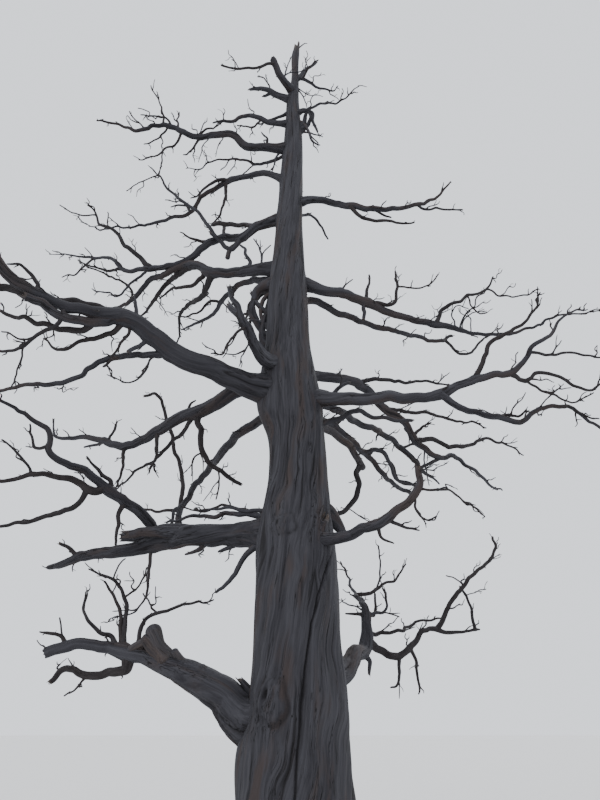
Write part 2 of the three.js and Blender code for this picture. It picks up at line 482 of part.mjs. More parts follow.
// Lay every limb out first, so that forks and twigs can keep clear of all of them.
const grown = new Map();
const towards = (bearing) => new THREE.Vector3(Math.cos(rad(bearing)), Math.sin(rad(bearing)), 0);
const footOf = (limb) => (limb.on ? grown.get(limb.on).branch.curve.getPoint(limb.at)
  : trunkAxis(limb.foot).addScaledVector(towards(limb.bearing), FOOT_DEPTH * alongTrunk(limb.foot, 2)));
for (const limb of LIMBS) {
  const branch = layOut(limb, footOf(limb), limb.thick, limb.tip ?? BRANCH_END);
  grown.set(limb.name, { limb, branch });
  if (limb.bare > 0) rods.push(...rodsOf(branch, limb.name, 0.04, limb.bare));
  if (limb.bare < 1) rods.push(...rodsOf(branch, `${limb.name}_twigs`, Math.max(limb.bare, 0.04), 1));
}

// A bough's tube: the bare part of a limb, from inside its host to where its twigs begin.
function boughTube({ limb, branch }, grow) {
  return tube(branch, { to: limb.bare, sides: limb.thick > 150 ? 8 : 6, grow, collar: collarOf(limb),
    rings: Math.max(3, Math.round(limb.bare * limb.climbs.length * 1.3)) });
}

// The bough with the splinters still standing on it.
function withSpurs(each, grow) {
  const spurs = (each.limb.spurs ?? []).map((spur) => {
    const splinter = layOut(spur, each.branch.curve.getPoint(spur.at), spur.thick, spur.tip);
    return tube(splinter, { sides: 5, rings: spur.climbs.length, grow });
  });
  return Manifold.union([boughTube(each, grow), ...spurs]);
}

const collarOf = (limb) => (limb.thick > 100 ? COLLAR : 0.5 * COLLAR);

// A solid less every limb and trunk already standing, each a little enlarged so that a gap is left.
const standing = [trunkGrown];
const cleared = (solid) => mainBody(Manifold.difference([solid, ...standing])).simplify(0.1);

for (const each of grown.values()) {
  if (each.limb.bare <= 0) continue;
  addNode(each.limb.name, cleared(withSpurs(each, 0)), wood);
  standing.push(withSpurs(each, GAP));
}

let number = 0;
for (const { limb, branch } of grown.values()) {
  number += 1;
  if (limb.bare >= 1) continue;
  const node = `${limb.name}_twigs`, spare = [limb.name, ...(limb.on ? [limb.on] : [])], found = [];
  branchOut(branch, limb.forks.filter((each) => each.at > limb.bare), node, spare, number * 101 + 7, found);
  const from = Math.max(limb.bare, 0.3);
  for (const twig of sideTwigs(branch, from, number * 53 + 11)) addTwig(branch, twig, node, spare, found);
  const start = limb.bare > 0 ? { startGap: GAP } : { collar: collarOf(limb) };
  const stem = tube(branch, { ...start, from: limb.bare, sides: limb.thick > 100 ? 5 : 4,
    rings: Math.max(3, Math.round((1 - limb.bare) * limb.climbs.length)) });
  const shoots = found.map((shoot) => tube(shoot,
    { sides: shoot.thick > 50 ? 4 : 3, rings: shoot.points.length - 1 }));
  addNode(node, cleared(Manifold.union([stem, ...shoots])), twigWood);
}

export default group;
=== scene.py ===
"""Dresses a tall dead tree that has lost its bark and leaves.

The trunk and boughs are weathered wood with long grain, cracks, healed knots and broken ends, and every
limb carries brittle twigs that grow on from it. The drawing of the tree is in millimetres, with bearings in
degrees round the trunk from +X and climbs in degrees above the level. Meshes are in metres, in the frame of
the solids, with the front of the tree facing -Y.
"""
import itertools
import json
import logging
import math
from dataclasses import dataclass, field
from enum import Enum
from functools import cached_property

import bpy
import numpy as np
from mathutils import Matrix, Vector

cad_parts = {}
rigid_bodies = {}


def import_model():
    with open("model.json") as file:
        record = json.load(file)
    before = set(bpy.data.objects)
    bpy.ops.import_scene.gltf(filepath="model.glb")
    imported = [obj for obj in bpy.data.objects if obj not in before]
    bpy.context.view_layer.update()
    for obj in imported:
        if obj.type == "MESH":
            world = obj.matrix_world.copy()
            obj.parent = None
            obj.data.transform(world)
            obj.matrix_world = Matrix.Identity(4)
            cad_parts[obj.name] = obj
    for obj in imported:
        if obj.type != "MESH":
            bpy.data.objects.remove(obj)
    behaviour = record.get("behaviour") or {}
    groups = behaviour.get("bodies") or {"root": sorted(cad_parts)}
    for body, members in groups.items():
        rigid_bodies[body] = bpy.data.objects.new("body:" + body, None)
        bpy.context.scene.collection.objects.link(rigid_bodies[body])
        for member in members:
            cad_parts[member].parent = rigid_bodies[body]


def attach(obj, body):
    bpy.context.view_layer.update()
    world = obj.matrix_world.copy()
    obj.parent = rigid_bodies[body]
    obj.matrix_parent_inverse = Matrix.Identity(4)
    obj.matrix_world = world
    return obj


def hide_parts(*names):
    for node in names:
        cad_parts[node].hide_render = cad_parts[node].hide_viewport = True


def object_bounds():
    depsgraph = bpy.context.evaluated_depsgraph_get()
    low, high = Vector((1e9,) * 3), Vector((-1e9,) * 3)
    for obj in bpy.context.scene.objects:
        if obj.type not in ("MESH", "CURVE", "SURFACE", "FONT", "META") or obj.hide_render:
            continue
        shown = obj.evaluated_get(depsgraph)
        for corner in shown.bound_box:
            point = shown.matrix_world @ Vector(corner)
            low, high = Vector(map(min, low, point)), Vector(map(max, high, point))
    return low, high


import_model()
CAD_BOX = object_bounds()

LOG = logging.getLogger("dead_tree")

# Short names for types
Array = np.ndarray
Triple = tuple[float, float, float]
Climbs = tuple[float, ...]

MM = 0.001              # metres in a millimetre
HEIGHT = 14650.0        # ground to the broken spike
SWAY = 10.0             # degrees a limb swings to either side as it goes
TAPER = 0.8             # how a limb thins from foot to tip
COLLAR = 0.34           # swelling at a limb's foot, as a share of its thickness
COLLAR_REACH = 0.75     # how far along the limb the swelling fades, as a share of its thickness
FOOT_DEPTH = 0.5        # where in the trunk a limb's axis starts, as a share of the radius
STOUT = 120.0           # a bough this thick swells the trunk round its foot
BROAD = 320.0           # a bough this thick swells it much more, and lower down
ROOT_SPREAD = 190.0     # how far the root lobes stand out at the ground
ROOT_LOBES = 6
ROOT_RISE = 480.0       # height over which the lobes fade
FLUTE_DEPTH = 0.045     # depth of the trunk's long furrows, as a share of its radius
TWIG_FOOT = 20.0        # thickness of a side twig where it starts
TWIG_END = 9.0          # thickness of its tip
BRANCH_END = 15.0       # thickness of a branch's tip
LEAST_FORK = 24.0       # thickness of the slimmest fork
MOST_FORK = 60.0        # thickness of the stoutest fork without a thickness of its own
FORK_SHARE = 0.6        # a fork's thickness, as a share of its parent's there
FORK_LIMIT = 0.92       # the most that share may be
TWIG_TURN = 35.0        # least degrees that a twig turns aside, and half of the most
TWIG_DROOP = 25.0       # most degrees that a twig droops
TWIG_CLIMB = 65.0       # range of its climb
TIP_SPAN = 330.0        # length of tip that a fan of twigs takes up
LIMB_TWIGS = 0.3        # share of the way along a limb where its side twigs start
FORK_TWIGS = 0.25       # share of the way along a fork where they start
FINE_START = 0.12       # share of the way where fine twigs start
FOOT_GAP = 0.04         # share of a limb, next to its foot, that others need not keep clear of
CLEARANCE = 18.0        # least room between a twig and any other limb
NEARBY = 1400.0         # rods farther apart than this are not compared
SPIN = 0.00022          # radians the trunk's grain turns in each millimetre of height

# height, sideways lean of the axis, radius
TRUNK = np.array([
    (0, 52, 655), (800, 50, 640), (1650, 49, 603), (2570, 36, 566), (3600, 36, 541), (4180, 31, 490),
    (4780, 42, 432), (5410, 30, 424), (5900, -35, 452), (6530, -98, 425), (7080, -115, 357),
    (7770, -127, 335), (8800, -119, 278), (9720, -109, 232), (10690, -79, 213), (11700, -50, 178),
    (12290, -55, 145), (12860, -62, 121), (13460, -22, 78), (14090, -22, 58), (HEIGHT, 20, 24),
], dtype=float)


class End(Enum):
    """How a branch ends."""

    POINTED = "pointed"
    SPLINTERED = "splintered"
    ROUNDED = "rounded"
    BLUNT = "blunt"


@dataclass(frozen=True)
class Limb:
    """A limb or fork as drawn, in equal strides that each have their own climb.

    It sets off at its bearing and bends by so many degrees from foot to tip. A limb starts at a height on
    the trunk (foot) or a share of the way (at) along the limb it is on, and a fork a share of the way along
    its parent. The share called bare is an open bough and the rest goes through the limb's own twigs.
    """

    name: str
    bearing: float
    bend: float
    length: float
    climbs: Climbs
    forks: tuple["Limb", ...] = ()
    at: float = 0.0
    thick: float = 0.0
    tip: float = BRANCH_END
    taper: float = TAPER
    on: str = ""
    foot: float = 0.0
    bare: float = 0.0
    spurs: tuple["Limb", ...] = ()
    end: End | None = None


def fork(at: float, bearing: float, bend: float, length: float, climbs: Climbs, *forks: Limb) -> Limb:
    """Draws a fork a share of the way along its parent, as thick as the rule makes it."""
    return Limb("", bearing, bend, length, climbs, forks, at)


def stout(thick: float, *drawn: object) -> Limb:
    """Draws a fork that is stouter than the rule makes it, from its thickness and then as a fork."""
    at, bearing, bend, length, climbs, *forks = drawn
    return Limb("", bearing, bend, length, climbs, tuple(forks), at, thick)


def spur(at: float, bearing: float, bend: float, length: float, climbs: Climbs, thick: float,
         tip: float) -> Limb:
    """Draws a splinter that stands on a bough, a share of the way along it."""
    return Limb("", bearing, bend, length, climbs, (), at, thick, tip)


def snag(name: str, foot: float, bearing: float, length: float, climbs: Climbs, thick: float,
         tip: float) -> Limb:
    """Draws a small limb that stands on the trunk at a height."""
    return Limb(name, bearing, 0, length, climbs, thick=thick, tip=tip, foot=foot)


def offshoot(name: str, on: str, at: float, bearing: float, length: float, climbs: Climbs, thick: float,
             tip: float, end: End | None = None, forks: tuple[Limb, ...] = ()) -> Limb:
    """Draws a small limb that stands on another limb, a share of the way along it."""
    return Limb(name, bearing, 0, length, climbs, forks, at, thick, tip, on=on, end=end)


# The limbs from the ground up, first on the left and then on the right
LIMBS = (
    Limb("low_left", 176, 6, 3300, (20, 45, 30, 25, 20, 5, 5, -15), foot=1530, thick=430, tip=115,
      taper=1, bare=0.58, forks=(
        fork(0.67, 200, 0, 950, (70, 75, 65, 40)),
        fork(0.67, 230, -30, 1350, (85, 85, 75, 50, 10, 20),
          fork(0.71, 318, 0, 350, (50, 35)), fork(0.47, 318, 0, 600, (20, 30, 70))),
        fork(0.69, 186, 6, 1000, (40, 20, 40, 55, 85)),
        fork(0.62, 20, -10, 1300, (85, 65, 25, 20, 15, 10), fork(0.41, 120, 0, 900, (30, 35, 25))),
        fork(0.91, 200, -10, 450, (55, 5, 5), fork(0.28, 230, 0, 250, (65, 60))),
        stout(90, 0.65, 150, 22, 1450, (-70, -30, -20, 10, 25, 0, -40),
          fork(0.61, 165, 0, 400, (-65, -30, -20))),
      )),
    Limb("low_right", 48, 64, 4550, (0, 30, 15, 85, 25, 20, 30, 55), foot=2200, thick=370, tip=18,
      taper=1.6, bare=0.36, forks=(
        fork(0.67, 30, -10, 1300, (20, 20, 30, 30, 35, 55), fork(0.34, 60, 0, 900, (60, 75, 85))),
        stout(95, 0.4, 20, -10, 2250, (-20, -25, 10, 40, 45, 5, 0, 0, 5),
          fork(0.68, 10, 10, 2100, (60, 55, 50, 50, 30, 35, 65, 85),
            fork(0.41, 200, -10, 350, (65, 35, 10))),
          fork(0.96, 150, 10, 700, (85, 85, 75, 70, 60), fork(0.79, 350, 0, 400, (20, 20, 10))),
          fork(0.39, 40, -10, 700, (-45, -85, -85, -85)), fork(0.28, 100, 20, 600, (-85, -85, -55, -15))),
        fork(0.42, 40, -10, 1800, (5, 15, 15, 15, 10)), fork(0.47, 160, 10, 300, (15, 5, 0)),
        fork(0.47, 80, -40, 950, (10, 10, 10, 20, 80, 85)),
      )),
    Limb("broken_left", 163, -3, 4000, (5, 0, -5, -5, -5, -5), foot=4000, thick=310, tip=50, bare=0.62,
      spurs=(spur(0.12, 163, -2, 2150, (8, 3, 0), thick=240, tip=130),),
      forks=(fork(0.83, 200, -10, 400, (45, 25)),)),
    Limb("hanging_left", 150, 15, 1450, (-80, -80, -85, -50, -20, -15), on="broken_left", at=0.51,
      thick=60),
    Limb("rising_left", 212, 10, 3750, (65, 40, 25, 30, 20, 20, 20, 80, 30, 10, 20, -5), on="broken_left",
      at=0.5, thick=110, forks=(
        fork(0.6, 190, 10, 550, (0, 70, 85)), fork(0.3, 230, -15, 650, (70, 25, 35, 45)),
        stout(85, 0.32, 196, -6, 1950, (-15, 30, 10, -10, -10, -10, 0),
          fork(0.56, 215, 0, 700, (55, 45, 35, 25)),
          stout(60, 0.15, 180, 5, 1700, (-60, -25, -20, -10, -10, -5))),
        fork(0.24, 160, 0, 700, (-85, -85, -85, -85)),
      )),
    Limb("thin_left", 155, 13, 1900, (10, 10, 5, 5, -5, -10), foot=4240, thick=85,
      forks=(fork(0.25, 150, 20, 1300, (30, 15, -5, 5)),)),
    Limb("drooping_stub", 165, -5, 1150, (0, -35, -55, -40), foot=3850, thick=100, tip=30, bare=1),
    Limb("straight_back_left", 124, -4, 4750, (25, 0, -10, -5, -30, -15), foot=5850, thick=180, bare=0.62,
      forks=(
        fork(0.92, 215, 10, 2850, (85, 85, 70, 65, 70, 65, 70, 45, -25)),
        fork(0.94, 170, 10, 1000, (5, 0, 20, 0)),
      )),
    Limb("sagging_left", 150, 12, 5200, (15, -15, -15, -5, -25, -15, 0, 20, 15, 5, 70), foot=6450,
      thick=170, bare=0.29, forks=(
        fork(0.31, 10, 20, 1550, (-85, -80, -55, -40, -25),
          fork(0.47, 190, -10, 500, (-55, -85)), fork(0.74, 200, -10, 500, (-85, -85))),
        fork(0.33, 135, 20, 2200, (-55, -20, -35, -20, -20, -35, -10)),
        fork(0.46, 165, 0, 800, (-85, -85, -70)), fork(0.6, 172, 0, 850, (-85, -85, -80)),
        fork(0.68, 10, -20, 450, (75, 75, 70)), fork(0.35, 350, 10, 300, (85, 55)),
      )),
    Limb("great_left", 204, 4, 5200, (0, 20, 5, 30, 25, -15, 10, 15, 40, -10), foot=6190, thick=350,
      tip=55, taper=0.65, bare=0.46, forks=(
        stout(110, 0.5, 196, -6, 2200, (5, 5, 10, 5, 10, -10)),
        stout(95, 0.56, 180, -10, 2300, (-50, 15, 15, 25, 20, 5)),
        stout(80, 0.49, 165, 0, 1550, (-50, -20, -10, -10, 20, 30)),
        fork(0.65, 190, -10, 1550, (-70, -30, -55, -10, 15),
          fork(0.55, 150, 0, 650, (-85, -80, -75, -85)), fork(0.4, 185, 0, 550, (-40, 0, 25, 25))),
        fork(0.48, 150, 0, 650, (-85, -70, -40)), fork(0.74, 215, -10, 700, (85, 60, 25, -15)),
      )),
    Limb("under_left", 172, 8, 3350, (-20, 10, -15, -35, -15, -5, -10, -15, -5), on="great_left", at=0.34,
      thick=110, forks=(fork(0.06, 170, 10, 1000, (-60, -55, 0, 15)),)),
    Limb("broken_prong", 236, 2, 1650, (-20, 40, 25, 60), foot=6650, thick=170, tip=60, bare=0.46, forks=(
        fork(0.63, 200, -10, 800, (-50, -55, -65, -25)), fork(0.5, 250, -20, 700, (-65, -70)),
      )),
    Limb("back_left_high", 140, 0, 2750, (20, 30, 5, -25, -15, -15, 10), foot=8450, thick=130, bare=0.55,
      forks=(
        fork(0.6, 165, -15, 900, (20, -40, -25, 15)), fork(0.78, 170, 0, 250, (-85, -80)),
      )),
    Limb("level_left", 166, -18, 4150, (5, 10, 10, 35, 20, -15, 0, -50, -10, 5), foot=8650, thick=150,
      bare=0.3, forks=(
        stout(95, 0.45, 135, -5, 2100, (0, 15, -35, 0, -5)), fork(0.35, 150, 0, 1250, (-40, -5, 15, -20)),
        stout(85, 0.31, 120, -5, 2450, (-35, 10, 25, 0, -5, -85)),
        fork(0.82, 185, -10, 1550, (85, 55, 25, 30, 25, 25, 40)), fork(0.14, 250, 0, 550, (80, 15, 10)),
        fork(0.08, 240, -40, 650, (85, 85, 50)),
      )),
    Limb("rotten_left", 168, 10, 1150, (5, -55, -85, -80), foot=8200, thick=95, forks=(
        fork(0.35, 200, 10, 700, (-50, -85, -60)), fork(0.55, 150, 10, 500, (-20, -80)),
      )),
    Limb("knuckled_left", 158, 20, 5050, (-10, -25, 20, -30, -25, -10, -5, 10, 45, 10, 10, 0), foot=9800,
      thick=190, bare=0.3, forks=(
        stout(85, 0.55, 200, -8, 1800, (45, 25, 45, 50, 20, 55, 50),
          fork(0.87, 185, 0, 750, (-10, 15, 20, 45)), fork(0.65, 240, 0, 350, (85, 85))),
        fork(0.31, 200, 0, 600, (10, 0, 20)), fork(0.43, 230, 0, 300, (75, 35)),
        fork(0.67, 150, 15, 1250, (25, 10, 30, 30, 30)), fork(0.82, 165, 0, 750, (-50, -35, -5)),
      )),
    Limb("crossing_left", 200, -10, 2200, (-20, 50, 60, 45, 35, 40, 35, 50, 55), on="knuckled_left",
      at=0.23, thick=70, forks=(
        fork(0.9, 180, -10, 650, (-20, -35, -45)), fork(0.53, 170, 10, 450, (25, 5, 10)),
      )),
    Limb("loop_left", 175, 15, 850, (25, -10, -10), on="knuckled_left", at=0.1, thick=75),
    Limb("arched_left", 172, -12, 4750, (25, 5, -20, -25, -55, -20, 0, 10, 5, 25, 35), foot=10700,
      thick=130, forks=(
        fork(0.23, 190, -10, 1000, (-15, -25, -60, -40)), fork(0.26, 130, 10, 1000, (-85, -85, -50, -20)),
        fork(0.45, 150, 20, 600, (55, -10)),
      )),
    Limb("slender_left", 160, 16, 2250, (-15, 10, 25, 20, 5, -40, 10), foot=11400, thick=56, forks=(
        fork(0.58, 150, 0, 300, (-65, -40)), fork(0.34, 150, 0, 350, (-25, -40)),
      )),
    Limb("long_left", 186, 10, 3850, (0, 0, 30, 0, -20, 15, 0, -40, 25, -5), foot=11500, thick=110,
      forks=(
        fork(0.61, 215, -15, 650, (40, -5, -5, -20), fork(0.71, 200, 0, 300, (65, 0))),
        fork(0.65, 225, -10, 1000, (85, 70, 60)), fork(0.58, 260, -10, 500, (85, 85)),
        fork(0.75, 215, -10, 400, (35, 50)), fork(0.62, 150, 0, 600, (-25, 5)),
        fork(0.55, 150, 15, 1100, (-40, -30, 0, 10), fork(0.47, 175, -5, 650, (-85, -85))),
        fork(0.46, 140, 10, 650, (-60, 25)), fork(0.5, 40, -10, 1000, (50, 50, 55)),
        fork(0.1, 200, -10, 400, (85, 60)),
      )),
    Limb("upper_left", 200, -20, 1550, (-5, -10, 5, -20, -15), foot=12150, thick=70,
      forks=(fork(0.37, 170, 0, 650, (-60, 5, 40)),)),
    Limb("crown_left", 200, -14, 850, (15, 10, 10, -10), foot=12850, thick=52,
      forks=(fork(0.51, 190, 0, 500, (75, 65, 15)),)),
    Limb("prong_left", 233, -5, 750, (-10, 25, 50), foot=13100, thick=105, tip=48, forks=(
        fork(0.88, 190, -10, 1100, (-35, -15, -10, 15), fork(0.67, 200, 0, 250, (60, 15))),
      )),
    Limb("crown_right", 5, -15, 1050, (-30, -30, -35, -20, 40), foot=13550, thick=66,
      forks=(fork(0.14, 300, 10, 500, (0, 0)),)),
    Limb("spire_right", 332, -12, 1550, (-25, 10, -25, -35, 15, 0), foot=12450, thick=86),
    Limb("rotten_right", 352, 8, 900, (-45, -70, -75, -30), foot=12270, thick=60,
      forks=(fork(0.4, 20, 0, 350, (-60, -40)),)),
    Limb("upper_right", 352, -2, 3050, (10, -20, -25, -5, -15, 5, 30, 40), foot=10100, thick=115, forks=(
        fork(0.35, 10, -10, 1250, (-65, -25, -5, -5, -5, 5)), fork(0.74, 5, -5, 800, (-35, 15, -5, -10)),
        fork(0.49, 20, 0, 350, (-30, -20)),
      )),
    Limb("hook_right", 50, 0, 1200, (35, 35, -20, -30), foot=9900, thick=90, tip=34, bare=1),
    Limb("high_right", 12, -6, 6500, (-15, 0, -30, -10, -5, -15, 5, 20, 25, 25, 0, 5), foot=8360,
      thick=160, bare=0.19, forks=(
        fork(0.2, 350, 10, 600, (85, 85, 85, 85)),
        fork(0.21, 340, 5, 1000, (-5, 5, 65, 85, 85), fork(0.68, 350, -5, 800, (-15, -10, 15, 55))),
        fork(0.4, 345, 5, 1500, (65, 50, 5, 35, 15, 30, 65),
          fork(0.8, 0, -10, 1000, (-35, 0, -10, 35)), fork(0.57, 40, -10, 600, (-65, -25, 20))),
      )),
    Limb("high_right_under", 34, -6, 3800, (30, -15, 10, -5, 5, 10, 0, 30), foot=7950, thick=120,
      bare=0.55, forks=(fork(0.93, 20, -20, 1250, (-40, -20, 30, 50, 35)),)),
    Limb("mid_right", 34, 4, 5300, (20, 5, 0, -35, -20, -40, -20, 15, -15, -25, -5), foot=6560, thick=160,
      bare=0.21, forks=(
        fork(0.23, 8, -8, 1750, (25, 0, 0, 0, -5, -10)),
        stout(75, 0.53, 25, 5, 2700, (20, -5, -5, 25, 25, 10, -5, -25)),
        fork(0.37, 20, -5, 2050, (10, -5, 10, -5, -15, 5, -15)), fork(0.51, 0, 0, 500, (45, 35)),
      )),
    Limb("main_right", 344, -12, 4500, (-15, -10, -10, -5, -5, -5, 20, 10, -5, 40, 40, 35, 20), foot=6100,
      thick=220, bare=0.55, forks=(
        stout(90, 0.58, 350, -10, 1800, (60, 55, 70, 15, 30, 35, 55, 70)),
        fork(0.78, 0, -5, 1350, (0, 5, -15, -10, -20)),
        stout(70, 0.69, 5, -5, 1800, (-35, 35, -10, -35, -5, 25, -5),
          fork(0.16, 15, -5, 1050, (-30, -25, -15, 10, 30))),
      )),
    Limb("main_right_low", 12, -6, 3150, (-40, -5, -15, 0, 30, 15, 5, -45, -35, -10), on="main_right",
      at=0.47, thick=90, forks=(
        fork(0.29, 25, -15, 550, (25, 25, 0, 35)), fork(0.7, 350, 0, 400, (-45, -35, -15)),
      )),
    Limb("lower_right", 54, -2, 4950, (20, 10, 5, 0, 10, -5, -20, -5, -10), foot=6100, thick=160,
      bare=0.55, forks=(fork(0.69, 30, 0, 850, (25, -10, -20)),)),
    Limb("lower_right_back", 62, -6, 4750, (20, 25, -5, 0, 0, -25, 0, -5, 0), foot=5800, thick=130,
      forks=(
        stout(70, 0.55, 45, 5, 1950, (25, 5, -30, -45, -5, 10)),
        fork(0.27, 40, -10, 1600, (40, 40, 10, 0, 10)),
      )),
    Limb("drooping_right", 40, 8, 1500, (15, -20, -30), foot=5700, thick=130, bare=0.55, forks=(
        fork(0.96, 205, -15, 1100, (-70, -85, -80, -50, -30), fork(0.73, 10, 0, 450, (-35, -20))),
      )),
    Limb("rising_right", 318, 12, 2100, (-10, -5, 5, 5, 15, 25, 25, 50, 85), foot=3850, thick=200,
      bare=0.48, spurs=(spur(0.06, 325, 0, 260, (65,), thick=200, tip=130),), forks=(
        fork(0.87, 355, 5, 850, (0, -5, -30, -45, -40)), fork(0.62, 10, 0, 450, (-30, -15, 5)),
        fork(0.83, 20, -20, 550, (-85, -85, -60, 0, 30)), fork(0.51, 30, -10, 350, (-50, -40, -30)),
      )),
    Limb("back_low", 95, -8, 2300, (20, 5, -15, 10, 25, -5, 15), foot=4700, thick=110, forks=(
        fork(0.36, 108, -12, 1050, (55, 30, 10, 35)), fork(0.52, 78, 10, 850, (-45, -20, 5)),
        fork(0.7, 104, -10, 650, (50, 60, 25)), fork(0.84, 82, 5, 450, (-25, 10)),
      )),
    Limb("back_high", 86, 8, 2350, (10, 25, 5, -15, 5, 20, 10), foot=8900, thick=100, forks=(
        fork(0.33, 96, -6, 1000, (-50, -30, -5, 10)), fork(0.5, 80, 8, 900, (60, 45, 15, 30)),
        fork(0.68, 98, -5, 600, (-35, -50, -20)), fork(0.82, 84, 5, 450, (45, 30)),
      )),
    Limb("back_upper", 93, -6, 1800, (25, 0, 15, -10, 10, 20), foot=10850, thick=80, forks=(
        fork(0.35, 82, 8, 800, (50, 25, 35)), fork(0.55, 98, -8, 600, (-40, -15, 10)),
        fork(0.78, 86, 0, 400, (45, 55)),
      )),
    Limb("back_crown", 88, 6, 1150, (15, 30, 5, 20), foot=12250, thick=62, forks=(
        fork(0.4, 96, -6, 480, (-35, 0, 15)), fork(0.6, 82, 6, 420, (60, 40)),
      )),
)


